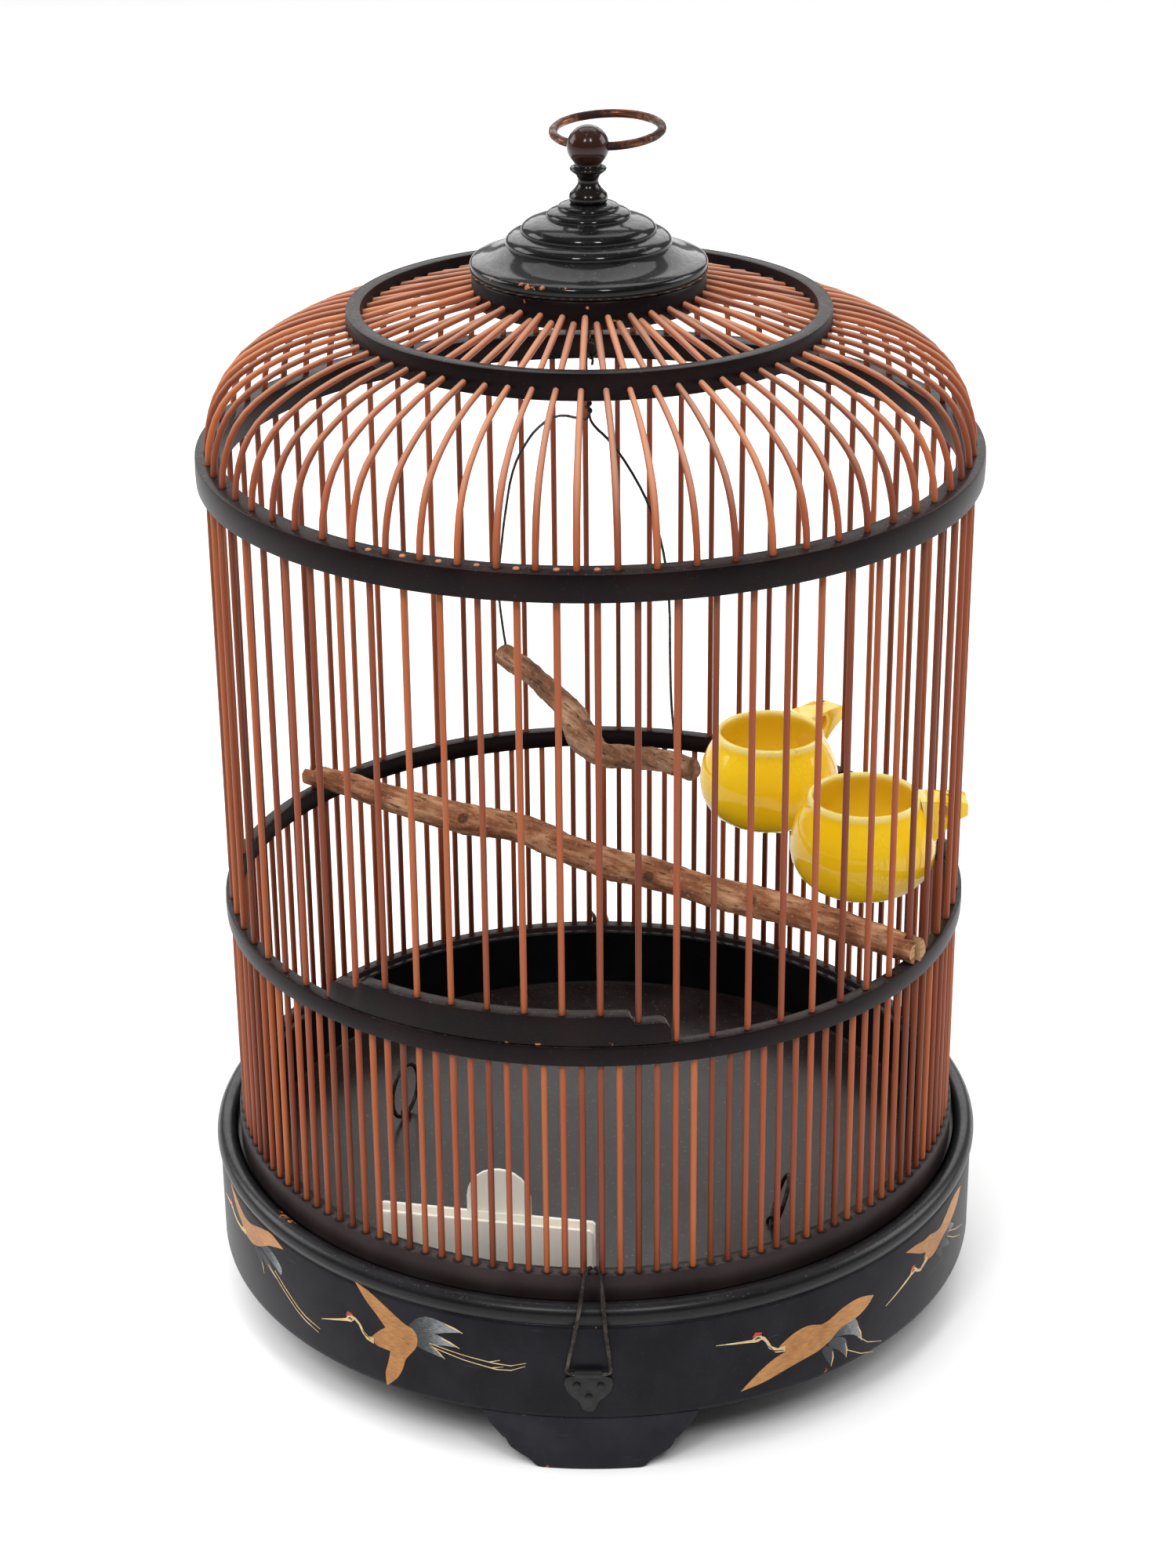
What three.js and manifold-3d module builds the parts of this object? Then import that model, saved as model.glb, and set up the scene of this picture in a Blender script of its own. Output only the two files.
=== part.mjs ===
// A round bamboo bird cage on a black lacquered base, with its tray, door, swing, perches, cups and clip.
// Millimetres, +Z up, the front faces -Y. Azimuths are in degrees from the front, positive towards +X.
// Radii and heights are measured from the middle of the cage, at the bottom of its feet.

import * as THREE from "three";
import { mergeVertices } from "three/addons/utils/BufferGeometryUtils.js";
import Module from "manifold-3d";

const wasm = await Module();
wasm.setup();

// Clearance between pieces that touch, and the overrun of cuts
const GAP = 0.3;
const OVERRUN = 2;

// Bars: 66 long places round the cage, number 0 in the middle of the door
const BAR_PLACES = 66;
const PITCH = 360 / BAR_PLACES;
const FIRST_BAR_AZ = -15.55;
const DOOR_REACH = 3;
const GUIDE_BAR = DOOR_REACH + 1;
const LAST_BAR = BAR_PLACES - GUIDE_BAR;
const PANEL_BARS = 6;
const DOME_PANELS = 6;
const BAR_R = 154.9;
const BAR_THICK = 2.4;
const BAR_HALF = BAR_THICK / 2;
const HOLE = BAR_THICK + 2 * GAP;
const SOCKET_DEPTH = 5;
const CORE_THICK = 3;
const CORE_HALF = CORE_THICK / 2;
const CORE_HEIGHT = 7.7;

// Radii from the bars outwards: the bottom hoop, the rebate that it stands in, the rim and the drum
const BOTTOM_HOOP_INSIDE = 2.8;
const BOTTOM_HOOP_OUTSIDE = 2.6;
const REBATE_PLAY = 1.4;
const REBATE_R = BAR_R + BOTTOM_HOOP_OUTSIDE + REBATE_PLAY;
const REBATE_LIP = 1.7;
const REBATE_INNER_R = BAR_R - REBATE_LIP;
const RIM_ROUND_WIDTH = 9.1;
const RIM_R = REBATE_R + RIM_ROUND_WIDTH;
const RIM_OVERHANG = 1.2;
const BASE_R = RIM_R - RIM_OVERHANG;

// Feet and base drum
const FEET = 3;
const FOOT_HEIGHT = 24.7;
const FOOT_HALF_AZ = 15.05;
const FOOT_AZ = -1.05;
const FOOT_THICK = 9;
const FOOT_EDGE_SHARES = [
  [1, 0.93], [0.94, 0.77], [0.875, 0.635], [0.794, 0.5], [0.77, 0.41],
  [0.72, 0.3], [0.647, 0.225], [0.566, 0.145], [0.52, 0.065], [0.45, 0], [0, 0],
];
const BASE_THICK = 7.3;
const BASE_FACETS = 32;
const BASE_BOTTOM = FOOT_HEIGHT + GAP;
const BASE_HEIGHT = 44;
const BASE_TOP = BASE_BOTTOM + BASE_HEIGHT;
const LEDGE_WIDTH = 4;
const LEDGE_THICK = 4.7;
const LEDGE_TOP = BASE_BOTTOM + BASE_HEIGHT / 2;
const FLOOR_BOTTOM = LEDGE_TOP + GAP;
const FLOOR_THICK = 5.7;
const FLOOR_TOP = FLOOR_BOTTOM + FLOOR_THICK;

// Rim moulding, with the rebate that the bottom hoop stands in
const RIM_BOTTOM = BASE_TOP + GAP;
const RIM_HEIGHT = 8.7;
const REBATE_THICK = 3.7;
const RIM_ROUND_SHARES = [
  [0, 0.82], [0.2, 0.97], [0.5, 1], [0.85, 0.82], [1, 0.5], [0.93, 0.2],
];

// Tray
const TRAY_PLAY = 1.7;
const TRAY_R = REBATE_INNER_R - TRAY_PLAY;
const TRAY_THICK = 3.3;
const TRAY_HEIGHT = 32.2;
const TRAY_BOTTOM = FLOOR_TOP + GAP;
const TRAY_FLOOR_THICK = 3.7;
const TRAY_FLOOR_TOP = TRAY_BOTTOM + TRAY_FLOOR_THICK;
const TRAY_FACETS = 36;

// Hoops: the radii are those beside a bar, where the facets are cut from
const BOTTOM_HOOP_HEIGHT = 13.7;
const BOTTOM_HOOP_BOTTOM = RIM_BOTTOM + REBATE_THICK + GAP;
const BOTTOM_HOOP_TOP = BOTTOM_HOOP_BOTTOM + BOTTOM_HOOP_HEIGHT;
const WAIST_INSIDE = 2.5;
const WAIST_OUTSIDE = 3.2;
const WAIST_BOTTOM = 182.6;
const WAIST_HEIGHT = 8.4;
const WAIST_TOP = WAIST_BOTTOM + WAIST_HEIGHT;
const SHOULDER_INSIDE = 5.4;
const SHOULDER_OUTSIDE = 5.1;
const SHOULDER_BOTTOM = 374.7;
const SHOULDER_HEIGHT = 11.3;
const SHOULDER_TOP = SHOULDER_BOTTOM + SHOULDER_HEIGHT;
const DOME_HOOP_R = 97.2;
const DOME_HOOP_WIDTH = 6;
const DOME_HOOP_BOTTOM = 431.1;
const DOME_HOOP_HEIGHT = 10.9;
const DOME_HOOP_MIDDLE_R = DOME_HOOP_R - DOME_HOOP_WIDTH / 2;
const DOME_BAR_Z_SHARE = 0.45;
const DOME_BAR_Z = DOME_HOOP_BOTTOM + DOME_BAR_Z_SHARE * DOME_HOOP_HEIGHT;
const DOME_BEND_SHARES = [
  [0.97, 0.24], [0.865, 0.51], [0.65, 0.745], [0.34, 0.92],
];

// Crown: collar, cap and finial
const COLLAR_R = 46.7;
const COLLAR_WIDTH = 7.5;
const COLLAR_BOTTOM = 444;
const COLLAR_HEIGHT = 11.2;
const COLLAR_TOP = COLLAR_BOTTOM + COLLAR_HEIGHT;
const DOME_CORE_HEIGHT = 6;
const DOME_CORE_LIFT = 1.6;
const DOME_CORE_THICK = 3.1;
const DOME_CORE_BOTTOM = COLLAR_BOTTOM + DOME_CORE_LIFT;
const CAP_OVERHANG = 0.6;
const CAP_R = COLLAR_R + CAP_OVERHANG;
const CAP_BOTTOM = COLLAR_TOP + GAP;
const CAP_HEIGHT = 27.1;
const CAP_TOP = CAP_BOTTOM + CAP_HEIGHT;
const CAP_FACETS = 24;
const CAP_SHARES = [
  [1, 0], [1, 0.16], [0.985, 0.195], [0.86, 0.24], [0.75, 0.34], [0.683, 0.46], [0.655, 0.52],
  [0.59, 0.55], [0.555, 0.62], [0.53, 0.72], [0.37, 0.79], [0.335, 0.88], [0.26, 0.94], [0.25, 1],
];
const TENON_R = 4;
const TENON_LENGTH = 8;
const FINIAL_BOTTOM = CAP_TOP + GAP;
const FINIAL_FACETS = 12;
const NECK_R = 7.7;
const NECK_HEIGHT = 14.5;
const NECK_SHARES = [
  [0.9, 0], [1, 0.17], [0.9, 0.32], [0.6, 0.45], [0.53, 0.57], [0.65, 0.76], [0.95, 0.9],
  [0.95, 0.97], [0.6, 1],
];
const BALL_R = 8.4;
const BALL_SINK = 1;
const BALL_Z = FINIAL_BOTTOM + NECK_HEIGHT + BALL_R - BALL_SINK;

// Hanging ring: its turn about the vertical, and how far it lies above the level
const RING_R = 21.5;
const RING_WIRE_R = 1.75;
const RING_TURN = -21.2;
const RING_RISE = 5.2;
const RING_STEPS = 24;
const RING_SIDES = 6;
const RING_HOLE_FLARE = 2;
const RING_HOLE_SIDES = 8;

// Door rail, in degrees from the middle bar, with its rounded ends and its raised middle
const RAIL_INSIDE = 4.3;
const RAIL_OUTSIDE = 2.5;
const RAIL_BOTTOM = WAIST_TOP + GAP;
const RAIL_HEIGHT = 12.7;
const RAIL_TOP = RAIL_BOTTOM + RAIL_HEIGHT;
const RAIL_HALF_AZ = 26.5;
const RAIL_HEIGHT_SHARES = [
  [1, 0.3], [0.99, 0.5], [0.97, 0.65], [0.945, 0.72], [0.79, 0.72], [0.788, 0.9], [0.775, 0.98], [0.765, 1],
];
const RAIL_CORE_HEIGHT = 6.4;
const DOOR_BAR_STUB = 1.5;

// Latch: a plate nailed to the drum, and a wire bail that hooks over the bottom hoop
const LATCH_AZ = -1.2;
const LATCH_WIRE_R = 0.9;
const KNUCKLE_R = 1.9;
const KNUCKLE_HALF = 5.5;
const LATCH_PIVOT_R = BASE_R + GAP + KNUCKLE_R;
const LATCH_PIVOT_Z = 48.5;
const LATCH_HALF = 8.6;
const LATCH_TIP_SHIFT = 1.8;
const LATCH_TIP_HALF = 1.2;
const LATCH_HOOK = 1.5;
const LATCH_REACH = LATCH_PIVOT_R - BAR_R + LATCH_HOOK;
const LATCH_LIFT = BOTTOM_HOOP_TOP + GAP + LATCH_WIRE_R - LATCH_PIVOT_Z;
const LATCH_SHARES = [
  // half width, reach inwards and height of one leg, from the pivot to the tip
  [1, 0, 0.02], [0.96, -0.01, 0.1], [0.66, -0.05, 0.5], [0.5, -0.03, 0.74], [0.36, 0.2, 0.93],
  [0.26, 0.5, 1.08], [0.13, 0.7, 1.13], [0, 0.82, 1.12], [0, 1, 1.01],
];
const PLATE_THICK = 0.8;
const PLATE_HALF = 9.9;
const PLATE_DROP = 19.3;
const PLATE_SHARES = [
  // half width and drop below the pivot
  [0.45, 0], [0.55, 0.12], [0.93, 0.14], [1, 0.35], [0.85, 0.58], [0.4, 0.76], [0.2, 1],
];
const NAIL_R = 0.5;
const NAIL_LENGTH = 5;
const NAIL_HEAD_R = 1.5;
const NAIL_HEAD_HEIGHT = 1;
const NAIL_SHARES = [[-0.5, 0.34], [0.5, 0.34], [0, 0.63]];

// Swing: a wire frame in one upright plane, hung from an eye under the crown, and a branch perch
const SWING_TURN = -58.8;
const SWING_WIRE_R = 0.6;
const SWING_AXIS_Z = 421;
const SWING_REACH = 78;
const SWING_DROP = 155;
const SWING_SIDES = 5;
const HOOK_R = 2.4;
const HOOK_TAIL = 2;
const HOOK_STEPS = 5;
const SWING_LEFT_SHARES = [
  [-0.909, 0], [-0.94, 0.05], [-0.99, 0.13], [-1.005, 0.2], [-0.905, 0.44], [-0.818, 0.565],
  [-0.694, 0.652], [-0.522, 0.733], [-0.308, 0.792], [-0.1, 0.812], [-0.03, 0.823],
  [-0.012, 0.845], [-0.02, 0.87], [-0.0308, 0.93],
];
const SWING_RIGHT_SHARES = [
  [0.841, 0.01], [0.82, 0.07], [0.79, 0.16], [0.765, 0.44], [0.709, 0.565], [0.603, 0.652],
  [0.417, 0.733], [0.174, 0.794], [0.04, 0.812], [0, 0.825], [-0.004, 0.842], [0.036, 0.865],
];
const EYE_R = 3.5;
const EYE_WIRE_R = 0.8;
const EYE_Z = SWING_AXIS_Z - SWING_WIRE_R - GAP - EYE_WIRE_R + EYE_R;
const EYE_SHANK_R = 1;
const EYE_SHANK_DEPTH = 6;
const SWING_PERCH_R = 4.6;
const SWING_PERCH_SHARES = [
  [-0.955, 0, 0], [-0.69, -0.006, -0.006], [-0.432, -0.018, -0.032], [-0.201, -0.031, -0.064],
  [0.009, -0.083, -0.115], [0.258, -0.112, -0.135], [0.446, -0.055, -0.1], [0.667, -0.01, -0.045],
  [0.962, 0.02, 0],
];
const PERCH_SIDES = 8;

// Long perch: its route as shares of the waist hoop's outer radius
const PERCH_R = 5.7;
const PERCH_BEARING_SHARE = 0.92;
const PERCH_SHARES = [
  [-0.824, 0.571], [-0.748, 0.527], [-0.58, 0.4], [-0.408, 0.285], [-0.348, 0.25], [-0.193, 0.183],
  [-0.076, 0.059], [0.066, -0.061], [0.129, -0.086], [0.333, -0.228], [0.51, -0.326], [0.682, -0.455],
  [0.827, -0.572],
];
const PERCH_FORK_BARS = [13, 46];
const FORK_CLEARANCE = 0.6;

// Cups: a round jar each, hooked on one wall bar by a notched lug
const CUP_R = 31.5;
const CUP_HEIGHT = 44;
const CUP_FACETS = 16;
const CUP_OUTER_SHARES = [
  [0.48, 0], [0.78, 0.09], [0.96, 0.28], [1, 0.48], [0.94, 0.7], [0.79, 0.91], [0.765, 0.98],
  [0.73, 1],
];
const CUP_INNER_SHARES = [
  [0.69, 0.98], [0.69, 0.93], [0.84, 0.72], [0.9, 0.48], [0.84, 0.26], [0.6, 0.12],
];
const LUG_HOLE_DROP = 5.5;
const LUG_ROOT_HEIGHT = 24;
const LUG_NOSE_HEIGHT = 7;
const LUG_NOSE = 4;
const LUG_HALF = 4.3;
const LUG_SIDE = 8.5;
const LUG_ROOT_SHARE = 0.76;
const LUG_HOLE_R = 1.9;
const FRONT_CUP_PLAY = 7.4;
const REAR_CUP_PLAY = 10.9;
const FRONT_CUP_R = BAR_R - CUP_R - FRONT_CUP_PLAY;
const REAR_CUP_R = BAR_R - CUP_R - REAR_CUP_PLAY;
const CUPS = [
  { name: "cup_front", az: 90, distance: FRONT_CUP_R, mouth: 226, bar: 19 },
  { name: "cup_rear", az: 134.7, distance: REAR_CUP_R, mouth: 222, bar: 28 },
];

// Ring pulls on the tray floor, each in a staple
const PULL_WIRE_R = 0.9;
const STAPLE_WIRE_R = 0.7;
const STAPLE_R = PULL_WIRE_R + GAP + STAPLE_WIRE_R;
const STAPLE_DEPTH = 2.5;
const PULL_STEPS = 16;
const PULL_SIDES = 6;
const LEFT_PULL_R = 12.1;
const LEFT_PULL_INSIDE = 62.8;
const RIGHT_PULL_R = 11.1;
const RIGHT_PULL_INSIDE = 47.5;
const PULLS = [
  { side: "left", az: -103.7, distance: TRAY_R - LEFT_PULL_INSIDE, turn: 65, lean: 0, ringR: LEFT_PULL_R },
  { side: "right", az: 46.4, distance: TRAY_R - RIGHT_PULL_INSIDE, turn: 86, lean: 18, ringR: RIGHT_PULL_R },
];

// Clip that stands on the tray floor
const CLIP_AZ = -21.8;
const CLIP_INSIDE = 29.2;
const CLIP_DISTANCE = TRAY_R - CLIP_INSIDE;
const CLIP_TURN = -8.6;
const CLIP_LENGTH = 90.5;
const CLIP_LEFT_HEIGHT = 32;
const CLIP_RIGHT_HEIGHT = 29.5;
const JAW_THICK = 1.6;
const JAW_INSIDE = 2.6;
const LIP_HEIGHT = 4;
const TONGUE_HEIGHT = 51.5;
const TONGUE_HALF = 13.5;
const TONGUE_SHIFT = 5;
const CLIP_PIN_R = 0.9;
const CLIP_PIN_Z = 20;
const CLIP_LUG_R = 2;
const CLIP_LUG_WIDTH = 3;
const FRONT_LUG_X = 13;
const BACK_LUG_X = FRONT_LUG_X - CLIP_LUG_WIDTH - GAP;
const SPRING_THICK = 0.5;
const SPRING_HALF = 5;
const SPRING_LEG = 5;

// Materials, one for each look
function material(color, roughness, metalness) {
  return new THREE.MeshStandardMaterial({ color, roughness, metalness });
}
const BLACK_LACQUER = material(0x1b1c22, 0.35, 0);
const HOOP_LACQUER = material(0x2a1a1a, 0.4, 0);
const BAMBOO = material(0x9c4a2c, 0.5, 0);
const BARK = material(0x7d5a42, 0.85, 0);
const COPPER = material(0x6b3a2a, 0.35, 0.9);
const DARK_WIRE = material(0x3a3530, 0.5, 0.85);
const GLAZE = material(0xf2cf1d, 0.15, 0);
const PLASTIC = material(0xe9e7e2, 0.4, 0);

// A point at an azimuth, a radius and a height
function polar(az, r, z) {
  const angle = THREE.MathUtils.degToRad(az);
  return new THREE.Vector3(r * Math.sin(angle), -r * Math.cos(angle), z);
}

function barAz(place) {
  return FIRST_BAR_AZ + PITCH * place;
}

// A closed geometry as a solid: merged, without empty triangles and facing out
function solid(geometry) {
  const flat = geometry.index ? geometry.toNonIndexed() : geometry;
  const bare = new THREE.BufferGeometry();
  bare.setAttribute("position", flat.getAttribute("position"));
  const merged = mergeVertices(bare);
  const index = merged.index.array;
  const corners = [];
  for (let i = 0; i < index.length; i += 3) {
    const [a, b, c] = [index[i], index[i + 1], index[i + 2]];
    if (a !== b && b !== c && c !== a) corners.push(a, b, c);
  }
  const make = (triVerts) =>
    new wasm.Manifold(
      new wasm.Mesh({ numProp: 3, vertProperties: merged.attributes.position.array, triVerts }),
    );
  const made = make(new Uint32Array(corners));
  return made.volume() < 0 ? make(new Uint32Array(corners).reverse()) : made;
}

// A solid's surface as a geometry
function surface(body) {
  const mesh = body.getMesh();
  const geometry = new THREE.BufferGeometry();
  geometry.setAttribute("position", new THREE.BufferAttribute(mesh.vertProperties, mesh.numProp));
  geometry.setIndex(new THREE.BufferAttribute(mesh.triVerts, 1));
  geometry.computeVertexNormals();
  return geometry;
}

function joined(bodies) {
  return wasm.Manifold.union(bodies);
}

function cut(body, cutters) {
  return body.subtract(joined(cutters));
}

// A ring turned about the vertical axis from a closed outline of [radius, height]
function turned(outline, facets, startAz = 0) {
  const points = [...outline, outline[0]].map(([r, z]) => new THREE.Vector2(r, z));
  const start = THREE.MathUtils.degToRad(startAz);
  const lathe = new THREE.LatheGeometry(points, facets, start, 2 * Math.PI);
  lathe.rotateX(Math.PI / 2);
  return solid(lathe);
}

function disc(r, bottom, top, facets) {
  return turned([[0, bottom], [r, bottom], [r, top], [0, top]], facets);
}

// Hoops have a facet for every two bars, so that all the bars lie equally deep in them.
// The shift, in pitches, puts the facets round the wall bars (0) or round the dome bars (0.5).
const FACET = 2 * PITCH;
const APOTHEM_SHARE = Math.cos(THREE.MathUtils.degToRad(PITCH / 2));
const CORNER_SHARE = APOTHEM_SHARE / Math.cos(THREE.MathUtils.degToRad(PITCH));
const DOME_SHIFT = 0.5;

function facetStart(shift) {
  return barAz(shift - DOME_SHIFT);
}

function hoop(outline, shift) {
  const corners = outline.map(([r, z]) => [r * CORNER_SHARE, z]);
  return turned(corners, BAR_PLACES / 2, facetStart(shift));
}

function plainHoop(innerR, outerR, bottom, top, shift) {
  return hoop([[innerR, bottom], [outerR, bottom], [outerR, top], [innerR, top]], shift);
}

// The radius, at an azimuth, of the hoop face that is r away beside a bar
function facetRadius(r, az, shift) {
  const into = THREE.MathUtils.euclideanModulo(az - facetStart(shift), FACET) - FACET / 2;
  return (r * APOTHEM_SHARE) / Math.cos(THREE.MathUtils.degToRad(into));
}

// The azimuths of a span's two ends and of the hoop corners between them
function spanStops(from, to, shift) {
  const start = facetStart(shift);
  const stops = [from];
  const first = Math.ceil((from - start) / FACET);
  for (let i = first; start + i * FACET < to; i += 1) stops.push(start + i * FACET);
  stops.push(to);
  return stops.filter((az, i) => i === 0 || az > stops[i - 1]);
}

// A piece of hoop between two azimuths
function arc(innerR, outerR, from, to, bottom, top, shift) {
  const stops = spanStops(from, to, shift);
  const outer = stops.map((az) => polar(az, facetRadius(outerR, az, shift), bottom));
  const inner = stops.map((az) => polar(az, facetRadius(innerR, az, shift), bottom)).reverse();
  const shape = new THREE.Shape([...outer, ...inner].map((p) => new THREE.Vector2(p.x, p.y)));
  const geometry = new THREE.ExtrudeGeometry(shape, { depth: top - bottom, bevelEnabled: false });
  geometry.translate(0, 0, bottom);
  return solid(geometry);
}

// A curved strip whose bottom and top heights follow its stations of [azimuth, bottom, top]
function strip(stations, radii) {
  const last = stations.length - 1;
  const geometry = new THREE.BoxGeometry(1, 1, 1, last, 1, 1);
  const position = geometry.attributes.position;
  for (let i = 0; i < position.count; i += 1) {
    const [az, bottom, top] = stations[Math.round((position.getX(i) + 1 / 2) * last)];
    const r = radii(az)[position.getY(i) < 0 ? 0 : 1];
    const p = polar(az, r, position.getZ(i) < 0 ? bottom : top);
    position.setXYZ(i, p.x, p.y, p.z);
  }
  return solid(geometry);
}

// An upright block on a bar's place
function post(az, r, deep, wide, bottom, top) {
  const box = new THREE.BoxGeometry(wide, deep, top - bottom);
  box.rotateZ(THREE.MathUtils.degToRad(az));
  const middle = polar(az, r, (bottom + top) / 2);
  box.translate(middle.x, middle.y, middle.z);
  return solid(box);
}

function bar(place, bottom, top) {
  return post(barAz(place), BAR_R, BAR_THICK, BAR_THICK, bottom, top);
}

function barHole(place, bottom, top) {
  return post(barAz(place), BAR_R, HOLE, HOLE, bottom, top);
}

function places(from, to) {
  return Array.from({ length: to - from + 1 }, (_, i) => from + i);
}

// A path of straight stretches, with one step of a sweep at each point
class Route extends THREE.Curve {
  constructor(points) {
    super();
    this.points = points;
  }

  getPoint(t, target = new THREE.Vector3()) {
    const along = t * (this.points.length - 1);
    const i = Math.min(Math.floor(along), this.points.length - 2);
    return target.lerpVectors(this.points[i], this.points[i + 1], along - i);
  }

  getUtoTmapping(u) {
    return u;
  }
}

// A round section, swept along a route through the points
function circleShape(r, sides) {
  const corners = places(0, sides - 1).map((i) => (2 * Math.PI * (i + 1 / 2)) / sides);
  return new THREE.Shape(corners.map((a) => new THREE.Vector2(r * Math.cos(a), r * Math.sin(a))));
}

function wire(points, r, sides) {
  const steps = points.length - 1;
  return solid(new THREE.ExtrudeGeometry(circleShape(r, sides), { steps, extrudePath: new Route(points) }));
}

// A rod along X, and one along Z
function rodX(r, from, to, sides) {
  const rod = new THREE.CylinderGeometry(r, r, to - from, sides);
  rod.rotateZ(Math.PI / 2);
  rod.translate((from + to) / 2, 0, 0);
  return rod;
}

function rodZ(r, bottom, top, sides) {
  const rod = new THREE.CylinderGeometry(r, r, top - bottom, sides);
  rod.rotateX(Math.PI / 2);
  rod.translate(0, 0, (bottom + top) / 2);
  return rod;
}

// An outline in X and Z, made thick along Y from front to back
function plate(points, front, back) {
  const shape = new THREE.Shape(points.map(([x, z]) => new THREE.Vector2(x, z)));
  const geometry = new THREE.ExtrudeGeometry(shape, { depth: back - front, bevelEnabled: false });
  geometry.rotateX(Math.PI / 2);
  geometry.translate(0, back, 0);
  return solid(geometry);
}

const cage = new THREE.Group();

function add(name, body, look, parent = cage) {
  const mesh = new THREE.Mesh(surface(body), look);
  mesh.name = name;
  parent.add(mesh);
  return mesh;
}

// A group at a place, turned about the vertical
function turnedGroup(turn, position = new THREE.Vector3()) {
  const group = new THREE.Group();
  group.position.copy(position);
  group.rotation.z = THREE.MathUtils.degToRad(turn);
  cage.add(group);
  return group;
}

// Feet: their lower edge is lobed and cusped
function addFeet() {
  const leftEdge = FOOT_EDGE_SHARES.map(([across, up]) => [-across, up]);
  const rightEdge = FOOT_EDGE_SHARES.slice(0, -1).reverse();
  for (const i of places(0, FEET - 1)) {
    const middle = FOOT_AZ + (360 / FEET) * i;
    const stations = [...leftEdge, ...rightEdge].map(([across, up]) => [
      middle + across * FOOT_HALF_AZ, up * FOOT_HEIGHT, FOOT_HEIGHT,
    ]);
    const foot = strip(stations, () => [BASE_R - FOOT_THICK, BASE_R]);
    add(`foot_${i + 1}`, foot, BLACK_LACQUER);
  }
}

// Nails stand square to the drum, in the latch's own turned frame
function nailPoint([across, drop], y) {
  return new THREE.Vector3(across * PLATE_HALF, y, LATCH_PIVOT_Z - drop * PLATE_DROP);
}

function nailRod(share, r, from, to) {
  const rod = rodZ(r, from, to, PULL_SIDES);
  rod.rotateX(Math.PI / 2);
  const p = nailPoint(share, 0);
  rod.translate(p.x, p.y, p.z);
  return rod;
}

const PLATE_FRONT = BASE_R + GAP + PLATE_THICK;
const NAIL_INNER = PLATE_FRONT - NAIL_LENGTH;
const LATCHES = [["front", LATCH_AZ], ["rear", LATCH_AZ + 180]];

function addBase() {
  const inner = BASE_R - BASE_THICK;
  const wall = turned(
    [
      [BASE_R, BASE_BOTTOM], [BASE_R, BASE_TOP], [inner, BASE_TOP], [inner, LEDGE_TOP],
      [inner - LEDGE_WIDTH, LEDGE_TOP], [inner - LEDGE_WIDTH, LEDGE_TOP - LEDGE_THICK],
      [inner, LEDGE_TOP - LEDGE_THICK], [inner, BASE_BOTTOM],
    ],
    BASE_FACETS,
  );
  const holes = LATCHES.flatMap(([, az]) =>
    NAIL_SHARES.map((share) => {
      const rod = nailRod(share, NAIL_R + GAP, NAIL_INNER - GAP, PLATE_FRONT);
      rod.rotateZ(THREE.MathUtils.degToRad(az));
      return solid(rod);
    }),
  );
  add("base_wall", cut(wall, holes), BLACK_LACQUER);

  const round = RIM_ROUND_SHARES.map(([out, up]) => [
    REBATE_R + out * (RIM_R - REBATE_R), RIM_BOTTOM + up * RIM_HEIGHT,
  ]);
  const rim = turned(
    [
      [REBATE_INNER_R, RIM_BOTTOM], [REBATE_INNER_R, RIM_BOTTOM + REBATE_THICK],
      [REBATE_R, RIM_BOTTOM + REBATE_THICK], ...round, [BASE_R, RIM_BOTTOM],
    ],
    BASE_FACETS,
  );
  add("base_rim", rim, BLACK_LACQUER);
  add("base_floor", disc(inner - GAP, FLOOR_BOTTOM, FLOOR_TOP, BASE_FACETS), BLACK_LACQUER);
}

function addTray() {
  const inner = TRAY_R - TRAY_THICK;
  const top = TRAY_BOTTOM + TRAY_HEIGHT;
  const side = [[TRAY_R, TRAY_BOTTOM], [TRAY_R, top], [inner, top], [inner, TRAY_BOTTOM]];
  const wall = turned(side, TRAY_FACETS);
  add("tray_wall", wall, BLACK_LACQUER);

  const floor = disc(inner - GAP, TRAY_BOTTOM, TRAY_FLOOR_TOP, TRAY_FACETS);
  const legHoles = PULLS.flatMap((pull) =>
    [-STAPLE_R, STAPLE_R].map((y) => {
      const rod = rodZ(STAPLE_WIRE_R + GAP, -STAPLE_DEPTH - GAP, OVERRUN, PULL_SIDES);
      rod.translate(0, y, 0);
      rod.rotateZ(THREE.MathUtils.degToRad(pull.turn));
      const foot = polar(pull.az, pull.distance, TRAY_FLOOR_TOP);
      rod.translate(foot.x, foot.y, foot.z);
      return solid(rod);
    }),
  );
  add("tray_floor", cut(floor, legHoles), BLACK_LACQUER);
}

// Each ring stands on its staple's wire level; the staple straddles the ring's lowest point
function addRingPulls() {
  const pivot = GAP + PULL_WIRE_R;
  for (const { side, az, distance, turn, lean, ringR } of PULLS) {
    const group = turnedGroup(turn, polar(az, distance, TRAY_FLOOR_TOP));
    const ring = new THREE.TorusGeometry(ringR, PULL_WIRE_R, PULL_SIDES, PULL_STEPS);
    ring.rotateX(Math.PI / 2);
    ring.translate(0, 0, ringR);
    const mesh = add(`ring_pull_${side}`, solid(ring), DARK_WIRE, group);
    mesh.position.z = pivot;
    mesh.rotation.x = THREE.MathUtils.degToRad(lean);

    const arch = places(0, PULL_SIDES).map((i) => {
      const angle = (Math.PI * i) / PULL_SIDES;
      return new THREE.Vector3(0, -STAPLE_R * Math.cos(angle), pivot + STAPLE_R * Math.sin(angle));
    });
    const start = new THREE.Vector3(0, -STAPLE_R, -STAPLE_DEPTH);
    const end = new THREE.Vector3(0, STAPLE_R, -STAPLE_DEPTH);
    add(`staple_${side}`, wire([start, ...arch, end], STAPLE_WIRE_R, PULL_SIDES), DARK_WIRE, group);
  }
}

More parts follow.
